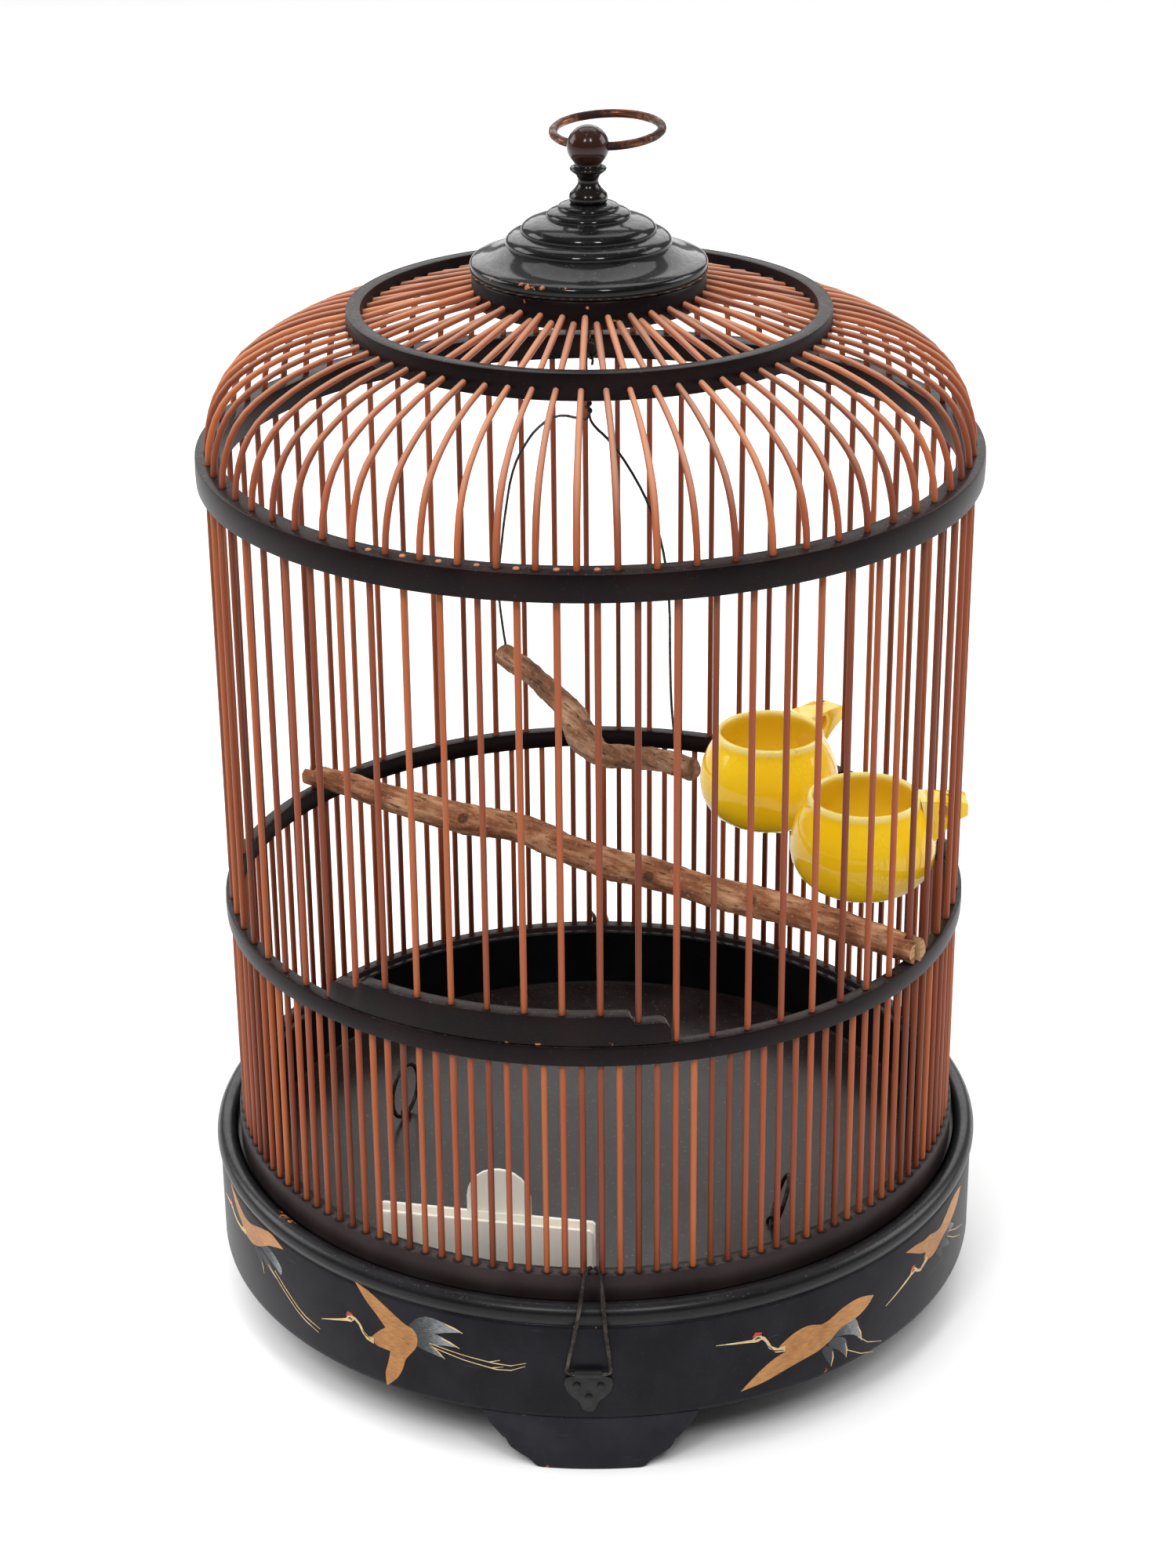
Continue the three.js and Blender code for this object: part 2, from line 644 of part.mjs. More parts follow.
// A latch is built facing the front and turned to its place
function addLatches() {
  const right = PLATE_SHARES.map(([across, drop]) => [
    across * PLATE_HALF, LATCH_PIVOT_Z - drop * PLATE_DROP,
  ]);
  const left = right.map(([x, z]) => [-x, z]).reverse();
  const flat = plate([...left, ...right], -PLATE_FRONT, -PLATE_FRONT + PLATE_THICK);
  const toPivot = (geometry) => solid(geometry.translate(0, -LATCH_PIVOT_R, LATCH_PIVOT_Z));
  const knuckle = toPivot(rodX(KNUCKLE_R, -KNUCKLE_HALF, KNUCKLE_HALF, PERCH_SIDES));
  const overrun = KNUCKLE_HALF + OVERRUN;
  const bore = toPivot(rodX(LATCH_WIRE_R + GAP, -overrun, overrun, PERCH_SIDES));
  const holes = NAIL_SHARES.map((share) =>
    solid(nailRod(share, NAIL_R + GAP, PLATE_FRONT - PLATE_THICK - OVERRUN, PLATE_FRONT + OVERRUN)),
  );
  const latchPlate = cut(joined([flat, knuckle]), [bore, ...holes]);

  const leg = (sign) =>
    LATCH_SHARES.map(([across, reach, lift]) => {
      const half = LATCH_TIP_HALF + across * (LATCH_HALF - LATCH_TIP_HALF);
      const shift = Math.max(lift, 0) * LATCH_TIP_SHIFT;
      return new THREE.Vector3(
        shift + sign * half, -(LATCH_PIVOT_R - reach * LATCH_REACH), LATCH_PIVOT_Z + lift * LATCH_LIFT,
      );
    });
  const end = (sign) => new THREE.Vector3(sign * LATCH_WIRE_R, -LATCH_PIVOT_R, LATCH_PIVOT_Z);
  const inset = LATCH_HALF - LATCH_WIRE_R;
  const corner = (sign) => new THREE.Vector3(sign * inset, -LATCH_PIVOT_R, LATCH_PIVOT_Z);
  const route = [end(-1), corner(-1), ...leg(-1), ...leg(1).reverse(), corner(1), end(1)];
  const bail = wire(route, LATCH_WIRE_R, SWING_SIDES);

  for (const [side, az] of LATCHES) {
    const group = turnedGroup(az);
    add(`latch_plate_${side}`, latchPlate, DARK_WIRE, group);
    add(`latch_bail_${side}`, bail, DARK_WIRE, group);
    NAIL_SHARES.forEach((share, i) => {
      const under = PLATE_FRONT + GAP;
      const shank = solid(nailRod(share, NAIL_R, NAIL_INNER, under + GAP));
      const head = solid(nailRod(share, NAIL_HEAD_R, under, under + NAIL_HEAD_HEIGHT));
      add(`latch_nail_${side}_${i + 1}`, joined([shank, head]), DARK_WIRE, group);
    });
  }
}

// The groove in the underside of a hoop that the tops of bars are set in
function topGroove(hoopBottom) {
  const half = CORE_HALF + GAP;
  return plainHoop(BAR_R - half, BAR_R + half, hoopBottom - OVERRUN, hoopBottom + SOCKET_DEPTH + GAP, 0);
}

function addHoops() {
  const bottom = plainHoop(
    BAR_R - BOTTOM_HOOP_INSIDE, BAR_R + BOTTOM_HOOP_OUTSIDE, BOTTOM_HOOP_BOTTOM, BOTTOM_HOOP_TOP, 0,
  );
  const grooveHalf = CORE_HALF + GAP;
  const groove = plainHoop(
    BAR_R - grooveHalf, BAR_R + grooveHalf, BOTTOM_HOOP_TOP - CORE_HEIGHT - GAP, BOTTOM_HOOP_TOP + OVERRUN, 0,
  );
  add("bottom_hoop", cut(bottom, [groove]), HOOP_LACQUER);

  const fixed = places(GUIDE_BAR, LAST_BAR);
  const door = places(-DOOR_REACH, DOOR_REACH);
  const waist = plainHoop(BAR_R - WAIST_INSIDE, BAR_R + WAIST_OUTSIDE, WAIST_BOTTOM, WAIST_TOP, 0);
  const waistHoles = fixed.map((place) => barHole(place, WAIST_BOTTOM - OVERRUN, WAIST_TOP + OVERRUN));
  add("waist_hoop", cut(waist, [topGroove(WAIST_BOTTOM), ...waistHoles]), HOOP_LACQUER);

  const shoulder = plainHoop(
    BAR_R - SHOULDER_INSIDE, BAR_R + SHOULDER_OUTSIDE, SHOULDER_BOTTOM, SHOULDER_TOP, 0,
  );
  const shoulderHoles = [
    ...door.map((place) => barHole(place, SHOULDER_BOTTOM - OVERRUN, SHOULDER_TOP + OVERRUN)),
    topGroove(SHOULDER_BOTTOM),
    ...places(0, BAR_PLACES - 1).map(domeSocket),
  ];
  add("shoulder_hoop", cut(shoulder, shoulderHoles), HOOP_LACQUER);

  const domeTop = DOME_HOOP_BOTTOM + DOME_HOOP_HEIGHT;
  const dome = plainHoop(DOME_HOOP_R - DOME_HOOP_WIDTH, DOME_HOOP_R, DOME_HOOP_BOTTOM, domeTop, DOME_SHIFT);
  add("dome_hoop", cut(dome, places(0, BAR_PLACES - 1).map(domeHole)), HOOP_LACQUER);
}

// The wall bars of a panel run to the shoulder hoop, or stop in the waist hoop under the door
function panel(from, to, longTop) {
  const ease = THREE.MathUtils.radToDeg(GAP / 2 / BAR_R);
  const bottom = BOTTOM_HOOP_TOP - CORE_HEIGHT;
  const shortTop = WAIST_BOTTOM + SOCKET_DEPTH;
  const core = arc(
    BAR_R - CORE_HALF, BAR_R + CORE_HALF, barAz(from - 1 / 4) + ease, barAz(to + 3 / 4) - ease,
    bottom, BOTTOM_HOOP_TOP, 0,
  );
  const bars = places(from, to).flatMap((place) => [
    bar(place, bottom + BAR_HALF, longTop),
    bar(place + 1 / 2, bottom + BAR_HALF, shortTop),
  ]);
  return joined([core, ...bars]);
}

function addWall() {
  for (let from = GUIDE_BAR, i = 1; from <= LAST_BAR; from += PANEL_BARS, i += 1) {
    const to = Math.min(from + PANEL_BARS - 1, LAST_BAR);
    add(`wall_bars_${i}`, panel(from, to, SHOULDER_BOTTOM + SOCKET_DEPTH), BAMBOO);
  }
  add("fence_bars_under_door", panel(-DOOR_REACH, DOOR_REACH, WAIST_BOTTOM + SOCKET_DEPTH), BAMBOO);
}

// The middle line of a dome bar in its own upright plane, as [radius, height]
const COLLAR_CORE_R = COLLAR_R - DOME_CORE_THICK / 2;
const DOME_BAR_SIT = DOME_CORE_HEIGHT / 2 - BAR_HALF - GAP;

function domeRoute(place) {
  const alternate = place % 2 === 0 ? DOME_BAR_SIT : -DOME_BAR_SIT;
  const rise = DOME_BAR_Z - SHOULDER_TOP;
  const bend = DOME_BEND_SHARES.map(([out, up]) => [
    DOME_HOOP_MIDDLE_R + out * (BAR_R - DOME_HOOP_MIDDLE_R), SHOULDER_TOP + up * rise,
  ]);
  return [
    [BAR_R, SHOULDER_TOP - SOCKET_DEPTH], ...bend, [DOME_HOOP_MIDDLE_R, DOME_BAR_Z],
    [COLLAR_CORE_R, DOME_CORE_BOTTOM + DOME_CORE_HEIGHT / 2 + alternate],
  ];
}

// A strip of even thickness along a route, lying in the upright plane of an azimuth
function bentBar(route, half, az) {
  const side = (sign) =>
    route.map(([r, z], i) => {
      const [r0, z0] = route[Math.max(i - 1, 0)];
      const [r1, z1] = route[Math.min(i + 1, route.length - 1)];
      const shift = (sign * half) / Math.hypot(r1 - r0, z1 - z0);
      return new THREE.Vector2(r + shift * (z1 - z0), z - shift * (r1 - r0));
    });
  const shape = new THREE.Shape([...side(1), ...side(-1).reverse()]);
  const geometry = new THREE.ExtrudeGeometry(shape, { depth: 2 * half, bevelEnabled: false });
  geometry.translate(0, 0, -half);
  geometry.rotateX(Math.PI / 2);
  geometry.rotateZ(THREE.MathUtils.degToRad(az - 90));
  return solid(geometry);
}

function domeAz(place) {
  return barAz(place + DOME_SHIFT);
}

// A sloping hole through the dome hoop, along the bar's way through it
function domeHole(place) {
  const route = domeRoute(place);
  const middle = route.length - 2;
  const [[r0, z0], [r, z], [r1, z1]] = route.slice(middle - 1, middle + 2);
  const slope = ((z - z0) / (r - r0) + (z1 - z) / (r1 - r)) / 2;
  const reach = DOME_HOOP_WIDTH;
  const run = [[r + reach, z + slope * reach], [r - reach, z - slope * reach]];
  return bentBar(run, BAR_HALF + GAP, domeAz(place));
}

// A leaning socket in the shoulder hoop, along the bar's first stretch
function domeSocket(place) {
  const [[r0, z0], [r1, z1]] = domeRoute(place);
  const lean = (r1 - r0) / (z1 - z0);
  const top = SHOULDER_TOP + OVERRUN;
  return bentBar([[r0 - lean * GAP, z0 - GAP], [r0 + lean * (top - z0), top]], BAR_HALF + GAP, domeAz(place));
}

function addDome() {
  const ease = THREE.MathUtils.radToDeg(GAP / 2 / COLLAR_R);
  const count = BAR_PLACES / DOME_PANELS;
  for (const i of places(0, DOME_PANELS - 1)) {
    const from = i * count;
    const to = from + count - 1;
    const core = arc(
      COLLAR_R - GAP - DOME_CORE_THICK, COLLAR_R - GAP,
      domeAz(from - 1 / 2) + ease, domeAz(to + 1 / 2) - ease,
      DOME_CORE_BOTTOM, DOME_CORE_BOTTOM + DOME_CORE_HEIGHT, DOME_SHIFT,
    );
    const bars = places(from, to).map((place) => bentBar(domeRoute(place), BAR_HALF, domeAz(place)));
    add(`dome_bars_${i + 1}`, joined([core, ...bars]), BAMBOO);
  }
}

function addCrown() {
  const collar = plainHoop(COLLAR_R - COLLAR_WIDTH, COLLAR_R, COLLAR_BOTTOM, COLLAR_TOP, DOME_SHIFT);
  const groove = plainHoop(
    COLLAR_R - DOME_CORE_THICK - 2 * GAP, COLLAR_R + OVERRUN,
    DOME_CORE_BOTTOM - GAP, DOME_CORE_BOTTOM + DOME_CORE_HEIGHT + GAP, DOME_SHIFT,
  );
  add("crown_collar", cut(collar, [groove]), HOOP_LACQUER);

  const outline = CAP_SHARES.map(([out, up]) => [out * CAP_R, CAP_BOTTOM + up * CAP_HEIGHT]);
  const cap = turned([[0, CAP_BOTTOM], ...outline, [0, CAP_TOP]], CAP_FACETS);
  const tenonHole = disc(TENON_R + GAP, CAP_TOP - TENON_LENGTH - GAP, CAP_TOP + OVERRUN, FINIAL_FACETS);
  const eyeTop = CAP_BOTTOM + EYE_SHANK_DEPTH + GAP;
  const eyeHole = disc(EYE_SHANK_R + GAP, CAP_BOTTOM - OVERRUN, eyeTop, PERCH_SIDES);
  add("crown_cap", cut(cap, [tenonHole, eyeHole]), BLACK_LACQUER);

  const tenonBottom = CAP_TOP - TENON_LENGTH;
  const neck = NECK_SHARES.map(([out, up]) => [out * NECK_R, FINIAL_BOTTOM + up * NECK_HEIGHT]);
  const neckBody = turned(
    [
      [0, tenonBottom], [TENON_R, tenonBottom], [TENON_R, FINIAL_BOTTOM], ...neck,
      [0, FINIAL_BOTTOM + NECK_HEIGHT],
    ],
    FINIAL_FACETS,
  );
  const ball = new THREE.SphereGeometry(BALL_R, FINIAL_FACETS, FINIAL_FACETS / 2);
  ball.rotateX(Math.PI / 2);
  ball.translate(0, 0, BALL_Z);
  add("finial", cut(joined([neckBody, solid(ball)]), [ringHole(-1), ringHole(1)]), HOOP_LACQUER);

  const group = turnedGroup(RING_TURN, new THREE.Vector3(0, 0, BALL_Z));
  const ring = new THREE.TorusGeometry(RING_R, RING_WIRE_R, RING_SIDES, RING_STEPS);
  ring.rotateZ(Math.PI / 2);
  ring.translate(0, RING_R, 0);
  const mesh = add("hanging_ring", solid(ring), COPPER, group);
  mesh.rotation.x = THREE.MathUtils.degToRad(RING_RISE);
}

// The ring's hole through the ball widens from the middle to both ends, so that the bent wire can turn in it
function ringHole(sign) {
  const narrow = (RING_WIRE_R + GAP) / Math.cos(Math.PI / RING_HOLE_SIDES);
  const length = BALL_R + OVERRUN;
  const cone = new THREE.CylinderGeometry(narrow + RING_HOLE_FLARE, narrow, length, RING_HOLE_SIDES);
  cone.translate(0, length / 2 - GAP, 0);
  cone.rotateZ((-sign * Math.PI) / 2);
  cone.rotateZ(THREE.MathUtils.degToRad(RING_TURN));
  cone.translate(0, 0, BALL_Z);
  return solid(cone);
}

// The rail's lobes slide on two fixed bars; its own bars are joined in a groove under it
function addDoor() {
  const shares = RAIL_HEIGHT_SHARES;
  const outline = [
    ...shares.map(([across, up]) => [-across, up]),
    ...[...shares].reverse(),
  ].map(([across, up]) => [barAz(0) + across * RAIL_HALF_AZ, up * RAIL_HEIGHT]);
  const corners = spanStops(outline[0][0], outline[outline.length - 1][0], 0).slice(1, -1);
  const heightAt = (az) => {
    const next = outline.findIndex(([stop]) => stop > az);
    const [[az0, up0], [az1, up1]] = [outline[next - 1], outline[next]];
    return up0 + ((up1 - up0) * (az - az0)) / (az1 - az0);
  };
  const stations = [...outline, ...corners.map((az) => [az, heightAt(az)])]
    .sort((a, b) => a[0] - b[0])
    .map(([az, up]) => [az, RAIL_BOTTOM, RAIL_BOTTOM + up]);
  const rail = strip(stations, (az) =>
    [BAR_R - RAIL_INSIDE, BAR_R + RAIL_OUTSIDE].map((r) => facetRadius(r, az, 0)),
  );
  const ease = THREE.MathUtils.radToDeg(GAP / BAR_R);
  const [from, to] = [barAz(-DOOR_REACH - 1 / 4), barAz(DOOR_REACH + 1 / 4)];
  const coreTop = RAIL_BOTTOM + RAIL_CORE_HEIGHT;
  const groove = arc(
    BAR_R - CORE_HALF - GAP, BAR_R + CORE_HALF + GAP, from - ease, to + ease,
    RAIL_BOTTOM - OVERRUN, coreTop + GAP, 0,
  );
  const holes = places(-GUIDE_BAR, GUIDE_BAR).map((place) =>
    barHole(place, RAIL_BOTTOM - OVERRUN, RAIL_TOP + OVERRUN),
  );
  add("door_rail", cut(rail, [groove, ...holes]), HOOP_LACQUER);

  const core = arc(BAR_R - CORE_HALF, BAR_R + CORE_HALF, from, to, RAIL_BOTTOM, coreTop, 0);
  const bars = places(-DOOR_REACH, DOOR_REACH).map((place) =>
    bar(place, RAIL_BOTTOM + BAR_HALF, SHOULDER_TOP + DOOR_BAR_STUB),
  );
  add("door_bars", joined([core, ...bars]), BAMBOO);
}

function addSwing() {
  const group = turnedGroup(SWING_TURN);
  const bottom = SWING_AXIS_Z - SWING_DROP;
  const frame = ([along, up]) => new THREE.Vector3(along * SWING_REACH, 0, bottom + up * SWING_DROP);
  const hookZ = SWING_AXIS_Z - HOOK_R;
  const hook = places(0, HOOK_STEPS).map((i) => {
    const angle = Math.PI * (1 - i / HOOK_STEPS);
    return new THREE.Vector3(HOOK_R * Math.cos(angle), 0, hookZ + HOOK_R * Math.sin(angle));
  });
  const tail = new THREE.Vector3(HOOK_R, 0, hookZ - HOOK_TAIL);
  const left = [...SWING_LEFT_SHARES.map(frame), ...hook, tail];
  const leftWire = wire(left, SWING_WIRE_R, SWING_SIDES);
  const rightWire = wire(SWING_RIGHT_SHARES.map(frame), SWING_WIRE_R, SWING_SIDES);
  add("swing_wire", joined([leftWire, rightWire]), DARK_WIRE, group);

  const perch = wire(
    SWING_PERCH_SHARES.map(([x, y, z]) =>
      new THREE.Vector3(x * SWING_REACH, y * SWING_REACH, bottom + z * SWING_REACH),
    ),
    SWING_PERCH_R, PERCH_SIDES,
  );
  const holes = [SWING_LEFT_SHARES, SWING_RIGHT_SHARES].map((shares) =>
    wire(
      [
        frame(shares[0]).addScaledVector(frame(shares[1]).sub(frame(shares[0])).normalize(), -GAP),
        frame(shares[0]), frame(shares[1]), frame(shares[2]),
      ],
      SWING_WIRE_R + GAP, SWING_SIDES,
    ),
  );
  add("swing_perch", cut(perch, holes), BARK, group);

  const eye = new THREE.TorusGeometry(EYE_R, EYE_WIRE_R, PULL_SIDES, PULL_STEPS);
  eye.rotateY(Math.PI / 2);
  eye.translate(0, 0, EYE_Z);
  const shank = solid(rodZ(EYE_SHANK_R, EYE_Z + EYE_R, CAP_BOTTOM + EYE_SHANK_DEPTH, PERCH_SIDES));
  add("swing_eye", joined([solid(eye), shank]), DARK_WIRE, group);
}

// The long perch bears on the waist hoop with flats, and forks round one bar at each end
function addPerch() {
  const waistR = BAR_R + WAIST_OUTSIDE;
  const z = WAIST_TOP + GAP + PERCH_BEARING_SHARE * PERCH_R;
  const route = PERCH_SHARES.map(([x, y]) => new THREE.Vector3(x * waistR, y * waistR, z));
  const branch = wire(route, PERCH_R, PERCH_SIDES);
  const cutters = PERCH_FORK_BARS.flatMap((place) => {
    const slotStart = BAR_R - BAR_HALF - FORK_CLEARANCE;
    const slotEnd = waistR + PERCH_R + OVERRUN;
    const wide = BAR_THICK + 2 * FORK_CLEARANCE;
    const [low, high] = [z - PERCH_R - OVERRUN, z + PERCH_R + OVERRUN];
    const reach = 2 * (WAIST_INSIDE + WAIST_OUTSIDE);
    return [
      post(barAz(place), (slotStart + slotEnd) / 2, slotEnd - slotStart, wide, low, high),
      post(barAz(place), BAR_R, 2 * reach, 2 * reach, low, WAIST_TOP + GAP),
    ];
  });
  add("long_perch", cut(branch, cutters), BARK);
}

function addCups() {
  for (const { name, az, distance, mouth, bar: place } of CUPS) {
    const middle = polar(az, distance, mouth - CUP_HEIGHT);
    const toPoint = ([out, up]) => [out * CUP_R, up * CUP_HEIGHT];
    const jar = [...CUP_OUTER_SHARES, ...CUP_INNER_SHARES].map(toPoint);
    const inside = jar[jar.length - 1][1];
    const body = turned([[0, 0], ...jar, [0, inside]], CUP_FACETS);
    const moved = body.translate([middle.x, middle.y, middle.z]);
    // The lug reaches past its bar, on the bar's near side, and closes round it from one side
    const barSide = Math.sign(az - barAz(place));
    const along = THREE.MathUtils.degToRad(az - barAz(place)) * BAR_R;
    const lugEnd = BAR_R + BAR_HALF + GAP + LUG_NOSE - distance;
    const lugStart = LUG_ROOT_SHARE * CUP_R;
    const near = Math.abs(along) - BAR_HALF - GAP;
    const far = near - 2 * LUG_HALF;
    const lugX = [-barSide * (near + LUG_SIDE - LUG_HALF), -barSide * far];
    const side = [
      [distance + lugStart, mouth - LUG_ROOT_HEIGHT], [distance + lugEnd, mouth - LUG_NOSE_HEIGHT],
      [distance + lugEnd, mouth], [distance + lugStart, mouth],
    ];
    const lug = plate(side, Math.min(...lugX), Math.max(...lugX)).rotate([0, 0, az - 90]);
    const notch = new THREE.BoxGeometry(2 * LUG_SIDE, HOLE, 2 * LUG_ROOT_HEIGHT);
    notch.translate(-barSide * (LUG_SIDE - BAR_HALF - GAP), 0, 0);
    notch.rotateZ(THREE.MathUtils.degToRad(barAz(place)));
    const barPoint = polar(barAz(place), BAR_R, mouth - LUG_HOLE_DROP);
    notch.translate(barPoint.x, barPoint.y, barPoint.z);
    const hole = rodX(LUG_HOLE_R, -2 * LUG_SIDE, 2 * LUG_SIDE, PERCH_SIDES);
    hole.translate(0, -(distance + CUP_R + LUG_HOLE_R - GAP), mouth - LUG_HOLE_DROP);
    hole.rotateZ(THREE.MathUtils.degToRad(az));
    add(name, cut(joined([moved, lug]), [solid(notch), solid(hole)]), GLAZE);
  }
}

// Two jaws whose lugs interlock on a pin, and a leaf spring round the pin between them
function addClip() {
  const group = turnedGroup(CLIP_TURN, polar(CLIP_AZ, CLIP_DISTANCE, TRAY_FLOOR_TOP + GAP));
  const half = CLIP_LENGTH / 2;
  const outside = JAW_INSIDE + JAW_THICK;
  const blade = [[-half, 0], [half, 0], [half, CLIP_RIGHT_HEIGHT], [-half, CLIP_LEFT_HEIGHT]];
  const lip = [[-half, 0], [half, 0], [half, LIP_HEIGHT], [-half, LIP_HEIGHT]];
  const tongueTop = places(0, PERCH_SIDES).map((i) => {
    const angle = (Math.PI * i) / PERCH_SIDES;
    return [
      TONGUE_SHIFT + TONGUE_HALF * Math.cos(angle),
      TONGUE_HEIGHT - TONGUE_HALF + TONGUE_HALF * Math.sin(angle),
    ];
  });
  const tongue = [
    [TONGUE_SHIFT - TONGUE_HALF, LIP_HEIGHT], [TONGUE_SHIFT + TONGUE_HALF, LIP_HEIGHT], ...tongueTop,
  ];
  const pinRod = (r, from, to) => solid(rodX(r, from, to, PERCH_SIDES).translate(0, 0, CLIP_PIN_Z));
  const lugs = (x, side) =>
    [-1, 1].flatMap((sign) => {
      const middle = sign * (x - CLIP_LUG_WIDTH / 2);
      const [from, to] = [middle - CLIP_LUG_WIDTH / 2, middle + CLIP_LUG_WIDTH / 2];
      const [low, high] = [CLIP_PIN_Z - CLIP_LUG_R / 2, CLIP_PIN_Z + CLIP_LUG_R / 2];
      const web = [[from, low], [to, low], [to, high], [from, high]];
      const depth = side < 0 ? [-outside + JAW_THICK / 2, 0] : [0, outside - JAW_THICK / 2];
      return [pinRod(CLIP_LUG_R, from, to), plate(web, ...depth)];
    });
  const bore = pinRod(CLIP_PIN_R + GAP, -FRONT_LUG_X - OVERRUN, FRONT_LUG_X + OVERRUN);
  const front = joined([
    plate(blade, -outside, -JAW_INSIDE), plate(lip, -outside, -GAP), ...lugs(FRONT_LUG_X, -1),
  ]);
  const back = joined([
    plate(blade, JAW_INSIDE, outside), plate(lip, GAP, outside), plate(tongue, JAW_INSIDE, outside),
    ...lugs(BACK_LUG_X, 1),
  ]);
  add("clip_jaw_front", cut(front, [bore]), PLASTIC, group);
  add("clip_jaw_back", cut(back, [bore]), PLASTIC, group);
  add("clip_pin", pinRod(CLIP_PIN_R, -FRONT_LUG_X, FRONT_LUG_X), DARK_WIRE, group);

  const innerR = CLIP_PIN_R + GAP;
  const leaf = (r, reversed) => {
    const bend = places(0, PULL_SIDES).map((i) => {
      const angle = (Math.PI * i) / PULL_SIDES;
      return new THREE.Vector2(-r * Math.cos(angle), -r * Math.sin(angle));
    });
    const legs = [new THREE.Vector2(-r, SPRING_LEG), ...bend, new THREE.Vector2(r, SPRING_LEG)];
    return reversed ? legs.reverse() : legs;
  };
  const shape = new THREE.Shape([...leaf(innerR + SPRING_THICK, false), ...leaf(innerR, true)]);
  const spring = new THREE.ExtrudeGeometry(shape, { depth: 2 * SPRING_HALF, bevelEnabled: false });
  spring.rotateX(Math.PI / 2);
  spring.rotateZ(Math.PI / 2);
  spring.translate(-SPRING_HALF, 0, CLIP_PIN_Z);
  add("clip_spring", solid(spring), DARK_WIRE, group);
}

addFeet();
addBase();
addTray();
addRingPulls();
addLatches();
addHoops();
addWall();
addDome();
addCrown();
addDoor();
addSwing();
addPerch();
addCups();
addClip();

export default cage;
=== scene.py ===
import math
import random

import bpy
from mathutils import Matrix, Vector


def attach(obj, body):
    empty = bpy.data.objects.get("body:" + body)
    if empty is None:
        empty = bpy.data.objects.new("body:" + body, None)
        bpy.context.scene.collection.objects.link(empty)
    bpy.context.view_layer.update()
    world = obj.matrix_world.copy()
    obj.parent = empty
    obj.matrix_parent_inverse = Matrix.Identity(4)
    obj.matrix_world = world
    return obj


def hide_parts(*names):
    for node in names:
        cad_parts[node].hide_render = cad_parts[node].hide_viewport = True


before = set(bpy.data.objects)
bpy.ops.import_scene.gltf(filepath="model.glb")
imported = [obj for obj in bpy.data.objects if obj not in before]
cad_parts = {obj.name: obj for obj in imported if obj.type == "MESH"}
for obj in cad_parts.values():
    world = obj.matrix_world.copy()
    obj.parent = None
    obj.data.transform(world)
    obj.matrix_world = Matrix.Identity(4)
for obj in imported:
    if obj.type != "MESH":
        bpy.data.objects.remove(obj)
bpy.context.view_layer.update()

# %% [markdown]
# # A round bamboo bird cage
# The frame holds the cage as plain solids, which already stand where the real pieces stand.
# This lesson gives them their looks. Square bars become scraped bamboo, flat-sided hoops become
# bent wood under lacquer, and the wires, branches, cups and painted cranes get their real forms.

MM = 0.001
random.seed(7)

# %% [markdown]
# ## Tools for making shapes
# A Blender operator works on whatever is selected, so each tool first clears the selection.
# An outline is drawn as a person would draw it: one vertex is extruded from point to point.
# The cage's sizes are typed in millimetres and turned into metres at the last moment.

# %% Picking one piece and finishing it
def pick(*pieces):
    if bpy.context.object and bpy.context.object.mode != "OBJECT":
        bpy.ops.object.mode_set(mode="OBJECT")
    bpy.ops.object.select_all(action="DESELECT")
    for piece in pieces:
        piece.select_set(True)
        bpy.context.view_layer.objects.active = piece


def modify(piece, kind, **settings):
    pick(piece)
    step = piece.modifiers.new(kind.lower(), kind)
    for name, value in settings.items():
        setattr(step, name, value)
    bpy.ops.object.modifier_apply(modifier=step.name)


def ease_edges(piece, width, segments=2, angle=40):
    limit = math.radians(angle)
    modify(piece, "BEVEL", width=width * MM, segments=segments, limit_method="ANGLE", angle_limit=limit)


def smooth(piece, angle=38):
    pick(piece)
    bpy.ops.object.shade_smooth_by_angle(angle=math.radians(angle))


def join(name, pieces):
    pick(*pieces)
    bpy.ops.object.join()
    piece = bpy.context.object
    piece.name = piece.data.name = name
    return piece


def copy_of(piece):
    """A copy with its own mesh."""
    twin = piece.copy()
    twin.data = piece.data.copy()
    bpy.context.collection.objects.link(twin)
    return twin


def drop(*pieces):
    for piece in pieces:
        bpy.data.objects.remove(piece)


def move(piece, matrix):
    """Moves the mesh itself, so that the piece's own origin stays in the middle of the cage."""
    piece.data.transform(matrix)
    piece.data.update()


def tell(*pieces):
    for piece in pieces:
        print(piece.name, "has", len(piece.data.polygons), "faces")


# %% Drawing and turning
def draw(name, points):
    """A line of edges through points in millimetres. The piece is left in edit mode, all selected."""
    pick()
    bpy.ops.mesh.primitive_plane_add(size=MM, location=Vector(points[0]) * MM)
    piece = bpy.context.object
    piece.name = piece.data.name = name
    bpy.ops.object.transform_apply(location=True, rotation=False, scale=False)
    bpy.ops.object.mode_set(mode="EDIT")
    bpy.ops.mesh.select_mode(type="VERT")
    bpy.ops.mesh.select_all(action="SELECT")
    bpy.ops.mesh.merge(type="CENTER")
    for here, there in zip(points, points[1:]):
        step = (Vector(there) - Vector(here)) * MM
        bpy.ops.mesh.extrude_region_move(TRANSFORM_OT_translate={"value": step})
    bpy.ops.mesh.select_all(action="SELECT")
    return piece


def tidy_mesh():
    """Joins points that meet, turns all faces outwards, and leaves edit mode."""
    bpy.ops.mesh.select_all(action="SELECT")
    bpy.ops.mesh.remove_doubles(threshold=0.01 * MM)
    bpy.ops.mesh.normals_make_consistent(inside=False)
    bpy.ops.object.mode_set(mode="OBJECT")


